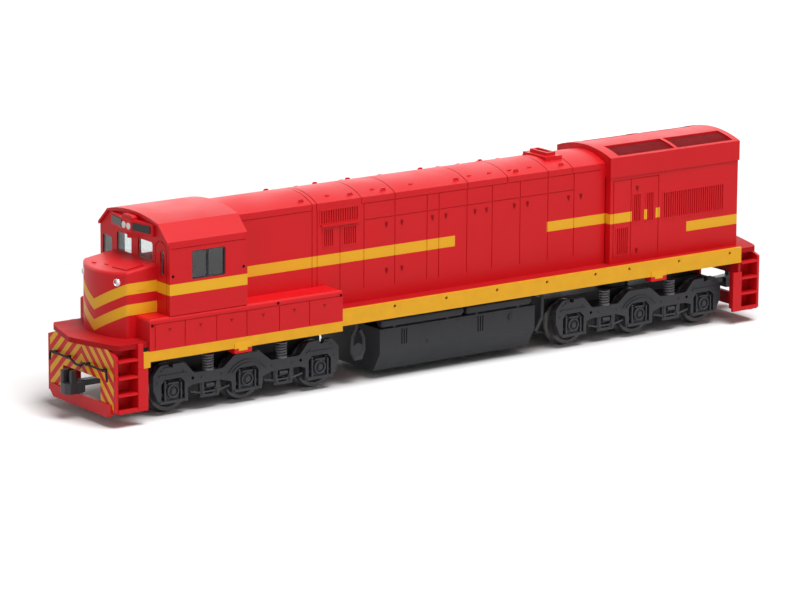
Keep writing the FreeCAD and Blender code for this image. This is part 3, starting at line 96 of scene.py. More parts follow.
# Noise that all surfaces share: scales per millimetre, and how far it changes sheen and shade
surfaceValues = {
    "sheenDrift": 0.09,
    "paintDrift": 0.05,
    "plainDrift": 0.3,
    "driftSpan": (0.3, 0.7),
    "bumpStrength": 0.35,
    "shade": 0.82,
}


def fineSurface(tree, shader, place, grainScale, grainDepth, roughness, spread):
    # Fine grain in the surface and a slow drift of its sheen
    grain = addNode(tree, "ShaderNodeTexNoise", {"Scale": grainScale, "Detail": 3.0}, {"Vector": place})
    drift = addNode(tree, "ShaderNodeTexNoise", {"Scale": surfaceValues["sheenDrift"], "Detail": 2.0},
                    {"Vector": place})
    low, high = surfaceValues["driftSpan"]
    limits = {"From Min": low, "From Max": high, "To Min": roughness - spread, "To Max": roughness + spread}
    sheen = addNode(tree, "ShaderNodeMapRange", limits, {"Value": drift.outputs[0]})
    tree.links.new(sheen.outputs[0], shader.inputs["Roughness"])
    dents = {"Strength": surfaceValues["bumpStrength"], "Distance": grainDepth * mm}
    bump = addNode(tree, "ShaderNodeBump", dents, {"Height": grain.outputs[0]})
    tree.links.new(bump.outputs[0], shader.inputs["Normal"])


def boxMask(tree, x, z, box):
    low, high, bottom, top = box
    across = mathNode(tree, "COMPARE", x, (low + high) / 2, (high - low) / 2)
    upright = mathNode(tree, "COMPARE", z, (bottom + top) / 2, (top - bottom) / 2)
    return mathNode(tree, "MULTIPLY", across, upright)


def union(tree, masks):
    whole = masks[0]
    for mask in masks[1:]:
        whole = mathNode(tree, "MAXIMUM", whole, mask)
    return whole


def paintColours(tree, shader, mask, place):
    # Two paints side by side, each a little uneven as sprayed coats are
    drift = addNode(tree, "ShaderNodeTexNoise", {"Scale": surfaceValues["paintDrift"], "Detail": 2.0},
                    {"Vector": place})
    red = addNode(tree, "ShaderNodeMix", {"data_type": "RGBA", 6: linearColour(paintValues["red"]),
                                          7: linearColour(paintValues["redDeep"])}, {0: drift.outputs[0]})
    both = addNode(tree, "ShaderNodeMix", {"data_type": "RGBA", 7: linearColour(paintValues["yellow"])},
                   {0: mask, 6: red.outputs[2]})
    tree.links.new(both.outputs[2], shader.inputs["Base Color"])
    shader.inputs["Specular IOR Level"].default_value = paintValues["gloss"]


def paintSurface(tree, shader, place):
    fineSurface(tree, shader, place, paintValues["grain"], paintValues["grainDepth"],
                paintValues["roughness"], paintValues["spread"])


# Paint colours and stripe places, in millimetres of the part frame
paintValues = {
    "red": "#CF121B",
    "redDeep": "#C60E17",
    "gloss": 0.25,
    "yellow": "#E6AA1E",
    "roughness": 0.42,
    "spread": 0.05,
    "grain": 5.0,
    "grainDepth": 0.02,
    "bodyBands": [
        (-5.45, 95.0, 34.0, 37.0),
        (-66.25, -37.55, 34.1, 36.95),
        (-71.85, -70.75, 34.1, 36.95),
        (-76.45, -74.95, 34.1, 36.95),
        (-106.0, -105.1, 34.1, 36.95),
        (-106.0, -86.35, 28.7, 31.6),
    ],
    "chevronHalf": 15.9,
    "plateFace": 110.1,
    "noseBands": [(34.3, 37.3), (28.65, 31.65)],
    "noseSlope": 0.51,
    "noseHalf": 10.9,
    "cabInside": (68.95, 92.7, 16.7, 28.6),
    "cabGrey": "#A3A1AA",
    "padCentres": (70.2, -72.2),
    "padSplits": (16.95, 18.35),
    "padReach": 4.0,
    "padTongue": (1.4, 0.7),
    "padOverlap": 0.1,
    "padPlate": 17.31,
    "chevronSlope": 0.93,
    "chevronPitch": 3.95,
    "chevronCentre": 20.45,
    "chevronStripe": (0.5, 0.25),
    "plateNear": 0.05,
}


def bodyPaint():
    # Satin paint on moulded plastic: smooth, with soft wide highlights and a clean yellow band
    material, tree, shader = newMaterial("bodyPaint")
    place = millimetres(tree)
    axes = addNode(tree, "ShaderNodeSeparateXYZ", {}, {0: place})
    masks = [boxMask(tree, axes.outputs[0], axes.outputs[2], box) for box in paintValues["bodyBands"]]
    paintColours(tree, shader, union(tree, masks), place)
    paintSurface(tree, shader, place)
    return material


def nosePaint():
    # The same satin paint, with two bands that dip to a point on the nose's middle line
    material, tree, shader = newMaterial("nosePaint")
    place = millimetres(tree)
    axes = addNode(tree, "ShaderNodeSeparateXYZ", {}, {0: place})
    aside = mathNode(tree, "ABSOLUTE", axes.outputs[1])
    inward = mathNode(tree, "SUBTRACT", paintValues["noseHalf"], aside)
    level = mathNode(tree, "MULTIPLY_ADD", inward, paintValues["noseSlope"], axes.outputs[2])
    masks = []
    for bottom, top in paintValues["noseBands"]:
        masks.append(mathNode(tree, "COMPARE", level, (bottom + top) / 2, (top - bottom) / 2))
    paintColours(tree, shader, union(tree, masks), place)
    paintSurface(tree, shader, place)
    return material


def pilotPaint():
    # Warning chevrons that meet over the coupler, on the end plate only; the lower bar stays red
    material, tree, shader = newMaterial("pilotPaint")
    place = millimetres(tree)
    axes = addNode(tree, "ShaderNodeSeparateXYZ", {}, {0: place})
    aside = mathNode(tree, "ABSOLUTE", axes.outputs[1])
    level = mathNode(tree, "MULTIPLY_ADD", aside, paintValues["chevronSlope"], axes.outputs[2])
    start = paintValues["chevronCentre"] - paintValues["chevronPitch"] / 2
    turns = mathNode(tree, "DIVIDE", mathNode(tree, "SUBTRACT", level, start), paintValues["chevronPitch"])
    stripe = mathNode(tree, "COMPARE", mathNode(tree, "FRACT", turns), *paintValues["chevronStripe"])
    along = mathNode(tree, "ABSOLUTE", axes.outputs[0])
    onPlate = mathNode(tree, "COMPARE", along, paintValues["plateFace"], paintValues["plateNear"])
    within = mathNode(tree, "LESS_THAN", aside, paintValues["chevronHalf"])
    shown = mathNode(tree, "MULTIPLY", onPlate, within)
    paintColours(tree, shader, mathNode(tree, "MULTIPLY", stripe, shown), place)
    paintSurface(tree, shader, place)
    return material


def cabPaint():
    # Body paint outside; inside, the cab is bare grey plastic that shows dull through the windows
    material, tree, shader = newMaterial("cabPaint")
    place = millimetres(tree)
    axes = addNode(tree, "ShaderNodeSeparateXYZ", {}, {0: place})
    masks = [boxMask(tree, axes.outputs[0], axes.outputs[2], box) for box in paintValues["bodyBands"]]
    paintColours(tree, shader, union(tree, masks), place)
    outside = shader.inputs["Base Color"].links[0].from_socket
    rear, front = paintValues["cabInside"][:2]
    side, floor = paintValues["cabInside"][2:]
    along = mathNode(tree, "COMPARE", axes.outputs[0], (rear + front) / 2, (front - rear) / 2)
    across = mathNode(tree, "LESS_THAN", mathNode(tree, "ABSOLUTE", axes.outputs[1]), side)
    above = mathNode(tree, "GREATER_THAN", axes.outputs[2], floor)
    inside = mathNode(tree, "MULTIPLY", mathNode(tree, "MULTIPLY", along, across), above)
    both = addNode(tree, "ShaderNodeMix", {"data_type": "RGBA", 7: linearColour(paintValues["cabGrey"])},
                   {0: inside, 6: outside})
    tree.links.new(both.outputs[2], shader.inputs["Base Color"])
    paintSurface(tree, shader, place)
    return material


def padPaint():
    # Jacking pads: sill yellow on the plate, body red on the foot under it
    material, tree, shader = newMaterial("padPaint")
    place = millimetres(tree)
    axes = addNode(tree, "ShaderNodeSeparateXYZ", {}, {0: place})
    aside = mathNode(tree, "ABSOLUTE", axes.outputs[1])
    outer = mathNode(tree, "GREATER_THAN", aside, paintValues["padPlate"])
    reach = paintValues["padReach"]
    half, drop = paintValues["padTongue"]
    masks = []
    for centre, split in zip(paintValues["padCentres"], paintValues["padSplits"]):
        plate = (centre - reach, centre + reach, split, split + reach)
        tongue = (centre - half, centre + half, split - drop, split + paintValues["padOverlap"])
        for box in (plate, tongue):
            masks.append(boxMask(tree, axes.outputs[0], axes.outputs[2], box))
    paintColours(tree, shader, mathNode(tree, "MULTIPLY", union(tree, masks), outer), place)
    paintSurface(tree, shader, place)
    return material


# Wheels: a surface that turns away from the sides by more than edgeOn is bare metal
wheelValues = {
    "face": "#3A3A3D",
    "tread": "#B4B0AA",
    "edgeOn": 0.8,
    "grain": 6.0,
    "grainDepth": 0.01,
    "roughness": 0.36,
    "spread": 0.06,
}


def wheelMetal():
    # Moulded dark wheel faces; turned treads, flange rims and axle in bright metal with a tight highlight
    material, tree, shader = newMaterial("wheelMetal")
    place = millimetres(tree)
    facing = addNode(tree, "ShaderNodeTexCoord")
    turned = addNode(tree, "ShaderNodeSeparateXYZ", {}, {0: facing.outputs["Normal"]})
    rim = mathNode(tree, "LESS_THAN", mathNode(tree, "ABSOLUTE", turned.outputs[1]), wheelValues["edgeOn"])
    colours = addNode(tree, "ShaderNodeMix", {"data_type": "RGBA", 6: linearColour(wheelValues["face"]),
                                              7: linearColour(wheelValues["tread"])}, {0: rim})
    tree.links.new(colours.outputs[2], shader.inputs["Base Color"])
    tree.links.new(rim, shader.inputs["Metallic"])
    fineSurface(tree, shader, place, wheelValues["grain"], wheelValues["grainDepth"],
                wheelValues["roughness"], wheelValues["spread"])
    return material


def plainSurface(name, colour, roughness, spread, grain, depth, metallic=0.0, coat=0.0, gloss=0.5):
    material, tree, shader = newMaterial(name)
    place = millimetres(tree)
    drift = addNode(tree, "ShaderNodeTexNoise", {"Scale": surfaceValues["plainDrift"], "Detail": 3.0},
                    {"Vector": place})
    base = linearColour(colour)
    darker = tuple(c * surfaceValues["shade"] for c in base[:3]) + (1.0,)
    mix = addNode(tree, "ShaderNodeMix", {"data_type": "RGBA", 6: darker, 7: base}, {0: drift.outputs[0]})
    tree.links.new(mix.outputs[2], shader.inputs["Base Color"])
    shader.inputs["Metallic"].default_value = metallic
    shader.inputs["Coat Weight"].default_value = coat
    shader.inputs["Specular IOR Level"].default_value = gloss
    fineSurface(tree, shader, place, grain, depth, roughness, spread)
    return material


def clearPlastic(name, tint, roughness):
    # Clear moulded pane: see-through with a clean highlight
    material, tree, shader = newMaterial(name)
    shader.inputs["Base Color"].default_value = linearColour(tint)
    shader.inputs["Transmission Weight"].default_value = 1.0
    shader.inputs["Roughness"].default_value = roughness
    shader.inputs["IOR"].default_value = 1.49
    return material


materials = {
    "body": bodyPaint(),
    "nose": nosePaint(),
    "pilot": pilotPaint(),
    "cab": cabPaint(),
    "pad": padPaint(),
    # Walkway paint: the body's red set darker as painted shade of the deck, over a fine tread grain, duller
    # than the body
    "walkway": plainSurface("walkwayShadedPaint", "#AB1118", 0.6, 0.05, 1.6, 0.06, gloss=0.12),
    # Sill paint: satin yellow
    "yellow": plainSurface("sillPaint", "#EBAB1C", 0.42, 0.05, 5.0, 0.02, gloss=0.25),
    # Bare grey plastic of tank and underframe: dull with a faint moulding grain
    "underframe": plainSurface("underframePlastic", "#2D2E32", 0.5, 0.06, 2.5, 0.03, gloss=0.3),
    # Truck plastic: dull dark grey that still catches light on its edges
    "truck": plainSurface("truckPlastic", "#34353A", 0.46, 0.06, 2.5, 0.03, gloss=0.35),
    "wheel": wheelMetal(),
    # Coil springs: dull grey plastic, set a lighter grey than the frames, partly their own grey and partly
    # painted highlight on the round coils
    "spring": plainSurface("springHighlightPlastic", "#747579", 0.5, 0.05, 6.0, 0.01, gloss=0.3),
    # Sockets and deep gaps: the red of the body gone nearly black in shade, matt
    "recess": plainSurface("recessPaint", "#3A0A0D", 0.8, 0.05, 5.0, 0.01, gloss=0.08),
    # Door catches, latches and roof slats: a darker red than the paint round them, as painted shade of their
    # small relief
    "catch": plainSurface("catchShadePaint", "#941018", 0.6, 0.05, 5.0, 0.01, gloss=0.15),
    # Chromed lamp rims: thin and bright
    "chrome": plainSurface("lampChrome", "#D8D8DA", 0.16, 0.03, 6.0, 0.005, metallic=1.0),
    # Coupler plastic: near black, slightly glossy
    "black": plainSurface("blackPlastic", "#26262A", 0.4, 0.05, 4.0, 0.02),
    # Lever wire: painted black, dull
    "wire": plainSurface("leverBlack", "#111113", 0.55, 0.05, 4.0, 0.01, gloss=0.15),
    # Bare number boards: gloss black
    "board": plainSurface("boardGloss", "#0C0C0D", 0.2, 0.03, 4.0, 0.005),
    # Window sashes: black gloss with thin glints
    "sash": plainSurface("sashBlack", "#202024", 0.28, 0.05, 5.0, 0.01),
    # Bare moulded grey of the cab's inside: dull
    "cabin": plainSurface("cabinPlastic", "#5A5962", 0.6, 0.05, 3.0, 0.02),
    # Cast block inside, hardly seen
    "ballast": plainSurface("ballastMetal", "#55565A", 0.6, 0.05, 2.0, 0.05, metallic=1.0),
    "pane": clearPlastic("clearPane", "#EEF2F2", 0.02),
    # Lamp lenses: milky moulded jewel, nearly white, under a clear gloss
    "lens": plainSurface("lampLens", "#F1F0EE", 0.14, 0.02, 4.0, 0.01, coat=0.6),
}

nodeMaterials = {
    "deck": "walkway", "left_side_sill": "yellow", "right_side_sill": "yellow", "centre_sill": "underframe",
    "front_pilot": "pilot", "rear_pilot": "pilot", "front_steps": "body", "rear_steps": "body",
    "front_uncoupling_lever": "wire", "rear_uncoupling_lever": "wire", "fuel_tank": "underframe",
    "air_reservoirs": "underframe", "jacking_pads": "pad", "underframe_pipes": "underframe",
    "left_equipment_box": "body", "right_equipment_box": "body", "short_nose": "nose", "cab_shell": "cab",
    "cab_roof": "body", "cab_side_sashes": "sash", "cab_glazing": "pane", "headlight_housing": "body",
    "number_boards": "board", "long_hood": "body", "hood_louvres": "body", "lifting_eyes": "body",
    "exhaust_stack": "body", "radiator_section": "body", "radiator_side_grilles": "body",
    "radiator_roof_grilles": "body", "hood_weight": "ballast", "rear_lamp_housing": "body",
    "lamp_lenses": "lens",
}
for end in ("front", "rear"):
    nodeMaterials[end + "_truck_gearcase"] = "truck"
    nodeMaterials[end + "_truck_left_frame"] = "truck"
    nodeMaterials[end + "_truck_right_frame"] = "truck"
    nodeMaterials[end + "_truck_springs"] = "truck"
    nodeMaterials[end + "_coupler"] = "black"
    for number in (1, 2, 3):
        nodeMaterials["%s_wheelset_%d" % (end, number)] = "wheel"

for name, key in nodeMaterials.items():
    mesh = nodes[name].data
    mesh.materials.clear()
    mesh.materials.append(materials[key])
print("materials set on", len(nodeMaterials), "nodes")


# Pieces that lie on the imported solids, and a few that take the place of one

def turnTo(axis):
    return Vector((0, 0, 1)).rotation_difference(Vector(axis)).to_matrix().to_4x4()


def addTurned(shape, centre, axis, profile, steps=20):
    # A turned form: its profile of radius and height goes once round the axis through centre
    place = Matrix.Translation(Vector(centre) * mm) @ turnTo(axis)
    verts = [shape.verts.new(place @ Vector((radius * mm, 0, height * mm))) for radius, height in profile]
    edges = [shape.edges.new(pair) for pair in zip(verts, verts[1:])]
    turning = place.to_3x3() @ Vector((0, 0, 1))
    bmesh.ops.spin(shape, geom=verts + edges, cent=place.translation, axis=turning, angle=2 * math.pi,
                   steps=steps, use_merge=True)


def softenEdges(shape, edges, width, segments=2):
    bmesh.ops.bevel(shape, geom=edges, offset=width * mm, segments=segments, affect="EDGES", profile=0.5,
                    material=-1)


def addPrism(shape, outline, lift, soft=0.0):
    # A flat outline raised by lift; soft rounds its raised rim
    verts = [shape.verts.new(Vector(point) * mm) for point in outline]
    base = shape.faces.new(verts)
    grown = bmesh.ops.extrude_face_region(shape, geom=[base])["geom"]
    top = [item for item in grown if isinstance(item, bmesh.types.BMVert)]
    bmesh.ops.translate(shape, verts=top, vec=Vector(lift) * mm)
    if soft:
        rim = [item for item in grown if isinstance(item, bmesh.types.BMEdge)]
        softenEdges(shape, rim, soft)


def addBlock(shape, low, high, soft=0.1):
    size = (Vector(high) - Vector(low)) * mm
    middle = (Vector(high) + Vector(low)) / 2 * mm
    place = Matrix.Translation(middle) @ Matrix.Diagonal(size.to_4d())
    place[3][3] = 1.0
    made = bmesh.ops.create_cube(shape, size=1.0, matrix=place)["verts"]
    edges = list({edge for vert in made for edge in vert.link_edges})
    softenEdges(shape, edges, soft)


def addSideBlock(shape, side, along, across, upright, soft=0.1):
    # A block on one side of the middle line, from three low and high values
    edges = sorted((side * across[0], side * across[1]))
    addBlock(shape, (along[0], edges[0], upright[0]), (along[1], edges[1], upright[1]), soft)


def addRod(shape, points, radius, steps=10):
    # Straight round runs that meet in balls at their bends
    for first, last in zip(points, points[1:]):
        run = Vector(last) - Vector(first)
        addTurned(shape, first, run, [(0, 0), (radius, 0), (radius, run.length), (0, run.length)], steps)
    for point in points[1:-1]:
        ball = Matrix.Translation(Vector(point) * mm)
        bmesh.ops.create_icosphere(shape, subdivisions=2, radius=radius * mm, matrix=ball)


def newPiece(name, shape, finish, body):
    bmesh.ops.remove_doubles(shape, verts=shape.verts, dist=1e-7)
    bmesh.ops.recalc_face_normals(shape, faces=shape.faces)
    mesh = bpy.data.meshes.new(name)
    shape.to_mesh(mesh)
    shape.free()
    mesh.materials.append(materials[finish])
    piece = bpy.data.objects.new(name, mesh)
    bpy.context.scene.collection.objects.link(piece)
    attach(piece, body)
    return piece


# Truck centres and axle places, in millimetres
truckValues = {
    "centres": {"front": 65.6, "rear": -69.2},
    "pitch": 23.76,
    "axleHeight": 6.68,
    "frameFace": 12.6,
}


# Coil springs that stand on the frames' dropped runs
springValues = {
    "along": 11.88,
    "across": 11.4,
    "low": 10.8,
    "high": 15.1,
    "radius": 1.35,
    "wire": 0.26,
    "wireSides": 7,
    "turns": 5,
    "stepsPerTurn": 14,
    "seat": 0.35,
    "core": 0.7,
}


def addSpring(shape, x, y):
    # A wire ring that climbs as it goes round, between two flat seats
    radius = springValues["radius"]
    wire = springValues["wire"]
    low = springValues["low"]
    high = springValues["high"]
    start = Matrix.Translation(Vector((x + radius, y, low + wire)) * mm)
    start = start @ Matrix.Rotation(math.pi / 2, 4, "X")
    ring = bmesh.ops.create_circle(shape, cap_ends=False, segments=springValues["wireSides"],
                                   radius=wire * mm, matrix=start)["verts"]
    edges = list({edge for vert in ring for edge in vert.link_edges})
    steps = springValues["turns"] * springValues["stepsPerTurn"]
    climb = Vector((0, 0, (high - low - 2 * wire) / steps)) * mm
    bmesh.ops.spin(shape, geom=ring + edges, cent=Vector((x, y, low)) * mm, axis=(0, 0, 1), dvec=climb,
                   angle=2 * math.pi * springValues["turns"], steps=steps)
    edge = radius + wire
    seat = springValues["seat"]
    core = springValues["core"]
    for z in (low, high - seat):
        addTurned(shape, (x, y, z), (0, 0, 1), [(0, 0), (edge, 0), (edge, seat), (0, seat)])
    addTurned(shape, (x, y, low), (0, 0, 1), [(0, 0), (core, 0), (core, high - low), (0, high - low)])


def buildSprings():
    for end, centre in truckValues["centres"].items():
        shape = bmesh.new()
        for along in (-1, 1):
            for side in (-1, 1):
                addSpring(shape, centre + along * springValues["along"], side * springValues["across"])
        piece = newPiece(end + "TruckSprings", shape, "spring", end + "_truck")
        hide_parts(end + "_truck_springs")


# Axle boxes: turned forms as radius and height, blocks and places as measured from the axle's end
boxValues = {
    "stand": 0.1,
    "cap": [(1.15, 0), (1.15, 0.1), (1.05, 0.18), (0.62, 0.18), (0.55, 0.42), (0.3, 0.5), (0, 0.5)],
    "capSink": 0.35,
    "ring": [(1.4, 0), (1.4, 0.14), (1.5, 0.22), (1.8, 0.22), (1.9, 0.14), (1.9, 0)],
    "ringSink": 0.05,
    "boltCount": 6,
    "boltCircle": 1.65,
    "bolt": [(0.17, 0), (0.17, 0.12), (0, 0.16)],
    "boltStand": 0.12,
    "guideAlong": 2.55,
    "guideHalf": 0.25,
    "guideAcross": (11.9, 12.75),
    "guideUpright": (-2.5, 2.3),
    "guideSoft": 0.08,
    "foot": (3.9, 12.7, -2.85),
    "footBolt": [(0.3, 0), (0.3, 0.2), (0.12, 0.3), (0, 0.3)],
    "plankHalf": 1.7,
    "plankAcross": (12.2, 12.9),
    "plankUpright": (2.0, 2.5),
}


def addAxleBox(shape, x, side):
    # Stepped bearing cap with a ring of bolts, guide strips at both sides and a spring plank over it
    z = truckValues["axleHeight"]
    face = truckValues["frameFace"] + boxValues["stand"]
    out = (0, side, 0)
    addTurned(shape, (x, side * (face - boxValues["capSink"]), z), out, boxValues["cap"], 24)
    addTurned(shape, (x, side * (face - boxValues["ringSink"]), z), out, boxValues["ring"], 28)
    for number in range(boxValues["boltCount"]):
        angle = 2 * math.pi * (number + 0.5) / boxValues["boltCount"]
        place = (x + boxValues["boltCircle"] * math.cos(angle), side * (face + boxValues["boltStand"]),
                 z + boxValues["boltCircle"] * math.sin(angle))
        addTurned(shape, place, out, boxValues["bolt"], 6)
    low, high = boxValues["guideUpright"]
    along, across, upright = boxValues["foot"]
    for way in (-1, 1):
        middle = x + way * boxValues["guideAlong"]
        addSideBlock(shape, side, (middle - boxValues["guideHalf"], middle + boxValues["guideHalf"]),
                     boxValues["guideAcross"], (z + low, z + high), boxValues["guideSoft"])
        addTurned(shape, (x + way * along, side * across, z + upright), out, boxValues["footBolt"], 8)
    low, high = boxValues["plankUpright"]
    addSideBlock(shape, side, (x - boxValues["plankHalf"], x + boxValues["plankHalf"]),
                 boxValues["plankAcross"], (z + low, z + high))


# Brake gear between two wheels, and what is bolted to the side frames
gearValues = {
    "across": 12.1,
    "rodHeight": 4.9,
    "rodRise": 0.7,
    "rodEnd": 6.3,
    "rodBend": 3.2,
    "rodRadius": 0.3,
    "hangerAlong": 2.3,
    "hangerHalf": (0.45, 0.4),
    "hangerUpright": (3.9, 8.2),
    "hangerSoft": 0.15,
    "pinFace": 12.4,
    "lowerPin": [(0.42, 0), (0.42, 0.3), (0.2, 0.42), (0, 0.42)],
    "upperPin": [(0.34, 0), (0.34, 0.25), (0, 0.3)],
    "upperHeight": 7.3,
    "adjusterStart": -1.3,
    "adjusterHeight": 6.7,
    "adjuster": [(0, 0), (0.6, 0), (0.7, 0.15), (0.7, 2.4), (0.6, 2.6), (0, 2.6)],
    "frameBolts": ((8.2, 9.2), (14.6, 9.2), (20.4, 11.8), (27.4, 12.6), (28.6, 9.4)),
    "frameBolt": [(0.3, 0), (0.3, 0.16), (0.14, 0.26), (0, 0.26)],
    "lugAlong": 25.6,
    "lugHalf": 1.1,
    "lugThick": 0.3,
    "lugUpright": (12.9, 13.5),
}


def addBrakeGear(shape, x, side):
    # Between two wheels: a brake rod under the frame, two hangers with pins and a slack adjuster
    out = (0, side, 0)
    y = side * gearValues["across"]
    rod = gearValues["rodHeight"]
    points = []
    for along, rise in ((-gearValues["rodEnd"], gearValues["rodRise"]), (-gearValues["rodBend"], 0),
                        (gearValues["rodBend"], 0), (gearValues["rodEnd"], gearValues["rodRise"])):
        points.append((x + along, y, rod + rise))
    addRod(shape, points, gearValues["rodRadius"])
    halfAlong, halfAcross = gearValues["hangerHalf"]
    low, high = gearValues["hangerUpright"]
    face = side * gearValues["pinFace"]
    for way in (-1, 1):
        hanger = x + way * gearValues["hangerAlong"]
        addBlock(shape, (hanger - halfAlong, y - halfAcross, low),
                 (hanger + halfAlong, y + halfAcross, high), gearValues["hangerSoft"])
        addTurned(shape, (hanger, face, rod), out, gearValues["lowerPin"], 10)
        addTurned(shape, (hanger, face, gearValues["upperHeight"]), out, gearValues["upperPin"], 8)
    addTurned(shape, (x + gearValues["adjusterStart"], y, gearValues["adjusterHeight"]), (1, 0, 0),
              gearValues["adjuster"], 14)


def buildTruckFittings():
    # Bolted caps, brake gear and frame bolts that sit on both side frames of each truck
    pitch = truckValues["pitch"]
    face = truckValues["frameFace"]
    for end, centre in truckValues["centres"].items():
        shape = bmesh.new()
        for side in (-1, 1):
            for number in (-1, 0, 1):
                addAxleBox(shape, centre + number * pitch, side)
            for number in (-0.5, 0.5):
                addBrakeGear(shape, centre + number * pitch, side)
            for way in (-1, 1):
                for x, z in gearValues["frameBolts"]:
                    place = (centre + way * x, side * face, z)
                    addTurned(shape, place, (0, side, 0), gearValues["frameBolt"], 8)
                lug = centre + way * gearValues["lugAlong"]
                addSideBlock(shape, side, (lug - gearValues["lugHalf"], lug + gearValues["lugHalf"]),
                             (face, face + gearValues["lugThick"]), gearValues["lugUpright"])
        newPiece(end + "TruckFittings", shape, "truck", end + "_truck")


# Drop-shaped door latches on the hood sides, as x and height
latchValues = {
    "upper": (17.9, 12.7, 2.3, -2.3, -12.3, -16.3, -26.0, -30.6, -45.1, -49.5),
    "upperHeight": 43.4,
    "lower": (17.8, 12.6),
    "lowerHeight": 30.5,
    "hoodFace": 10.0,
    "rear": ((-68.1, 43.9), (-68.1, 25.8)),
    "rearFace": 12.2,
    "radius": 0.42,
    "tail": 1.1,
    "tip": 0.12,
    "thick": 0.22,
    "sink": 0.05,
    "soft": 0.07,
    "arc": (-20, 200),
    "arcSteps": 8,
    "pin": [(0.16, -0.05), (0.16, 0.06), (0, 0.1)],
}


def addLatch(shape, x, z, side, face):
    # Round at its top, drawn to a blunt tip below, with a pin in the middle
    radius = latchValues["radius"]
    back = side * (face - latchValues["sink"])
    start, end = latchValues["arc"]
    outline = []
    for number in range(latchValues["arcSteps"] + 1):
        angle = math.radians(start + (end - start) * number / latchValues["arcSteps"])
        outline.append((x + radius * math.cos(angle), back, z + radius * math.sin(angle)))
    for tip in (-latchValues["tip"], latchValues["tip"]):
        outline.append((x + tip, back, z - latchValues["tail"]))
    lift = side * (latchValues["thick"] + latchValues["sink"])
    addPrism(shape, outline, (0, lift, 0), latchValues["soft"])
    addTurned(shape, (x, side * (face + latchValues["thick"]), z), (0, side, 0), latchValues["pin"], 8)


def buildLatches():
    shape = bmesh.new()
    for side in (-1, 1):
        for x in latchValues["upper"]:
            addLatch(shape, x, latchValues["upperHeight"], side, latchValues["hoodFace"])
        for x in latchValues["lower"]:
            addLatch(shape, x, latchValues["lowerHeight"], side, latchValues["hoodFace"])
        for x, z in latchValues["rear"]:
            addLatch(shape, x, z, side, latchValues["rearFace"])
    # The latches take the darker catch red: painted shade of their relief
    newPiece("hoodLatches", shape, "catch", "body")


# Bolts and latch marks on the equipment boxes and cab sides
sideValues = {
    "boxFace": 17.3,
    "boxDoors": (93.25, 83.55, 73.65, 63.5, 53.4, 43.5),
    "doorLatch": 25.2,
    "boxBolts": ((98.75, 26.7), (58.7, 27.6), (38.15, 27.1)),
    "cabFace": 17.15,
    "cabBolts": ((92.1, 39.15), (69.7, 39.15)),
    "socket": [(0.42, -0.02), (0.42, 0.05), (0.32, 0.08), (0.26, 0.02), (0, 0.02)],
    "catchSink": 0.05,
    "catchSoft": 0.04,
    "bar": (0.55, 0.12, -0.02, 0.16),
    "stem": (0.1, 0.1, -0.7, 0.0),
}


def buildSideMarks():
    # Dark round sockets for grab irons, and the small T-shaped catch near the top of each box door
    shape = bmesh.new()
    for side in (-1, 1):
        for face, places in (("boxFace", "boxBolts"), ("cabFace", "cabBolts")):
            for x, z in sideValues[places]:
                addTurned(shape, (x, side * sideValues[face], z), (0, side, 0), sideValues["socket"], 14)
    newPiece("grabSockets", shape, "recess", "body")
    shape = bmesh.new()
    for side in (-1, 1):
        face = sideValues["boxFace"]
        for x in sideValues["boxDoors"]:
            z = sideValues["doorLatch"]
            for half, thick, low, high in (sideValues["bar"], sideValues["stem"]):
                across = (face - sideValues["catchSink"], face + thick)
                addSideBlock(shape, side, (x - half, x + half), across, (z + low, z + high),
                             sideValues["catchSoft"])
    # The T-shaped catches take the darker catch red: painted shade of their relief
    newPiece("boxCatches", shape, "catch", "body")


# Lamps: rims round the marker and headlight lenses
lampValues = {
    "markerAcross": 8.2,
    "markerHeight": 37.4,
    "markerFace": 103.9,
    "markerTilt": 0.48,
    "headAcross": 1.15,
    "headHeight": 50.4,
    "headFace": 95.3,
    "rearFace": -106.4,
    "rearHeight": 50.3,
    "bezel": [(0.78, -0.1), (0.78, 0.12), (0.86, 0.24), (0.98, 0.24), (1.06, 0.14), (1.06, -0.1)],
}


def buildLampRims():
    # Thin bright bezels with a rounded lip, one to each lens
    shape = bmesh.new()
    bezel = lampValues["bezel"]
    for side in (-1, 1):
        tilt = Vector((1, side * lampValues["markerTilt"], 0)).normalized()
        place = (lampValues["markerFace"], side * lampValues["markerAcross"], lampValues["markerHeight"])
        addTurned(shape, place, tilt, bezel, 28)
        place = (lampValues["headFace"], side * lampValues["headAcross"], lampValues["headHeight"])
        addTurned(shape, place, (1, 0, 0), bezel, 28)
        place = (lampValues["rearFace"], side * lampValues["headAcross"], lampValues["rearHeight"])
        addTurned(shape, place, (-1, 0, 0), bezel, 28)
    newPiece("lampRims", shape, "chrome", "body")


# Short nose with crisp corners; on its top a low hatch and two hinge marks, on its sides two fine ledges
noseValues = {
    "frontX": 106.0,
    "cornerX": 102.5,
    "rearX": 93.15,
    "half": 10.9,
    "foot": 22.4,
    "frontTop": 39.9,
    "rearTop": 41.7,
    "arcSteps": 20,
    "cornerRound": 0.45,
    "rimRound": 0.8,
    "loose": 0.1,
    "tall": 5.0,
    "rimFrom": 38.0,
    "hatch": ((102.3, 3.3), (101.6, 9.0), (96.2, 9.0), (96.6, 3.3)),
    "hatchMiddle": (99.2, 6.0),
    "hatchSink": 0.05,
    "hatchSoft": 0.1,
    "lift": 0.26,
    "gap": 0.14,
    "gapSink": 0.2,
    "gapLift": 0.26,
    "marks": ((101.8, -0.3), (102.9, -4.8)),
    "markHalf": (0.35, 0.7),
    "markUpright": (-0.1, 0.22),
    "ledges": (35.05, 35.45),
    "ledgeAlong": (96.7, 99.4),
    "ledgeAcross": (10.85, 11.0),
    "ledgeHalf": 0.07,
    "ledgeSoft": 0.04,
}


def noseTop(x):
    slope = (noseValues["rearTop"] - noseValues["frontTop"]) / (noseValues["frontX"] - noseValues["rearX"])
    return noseValues["frontTop"] + (noseValues["frontX"] - x) * slope


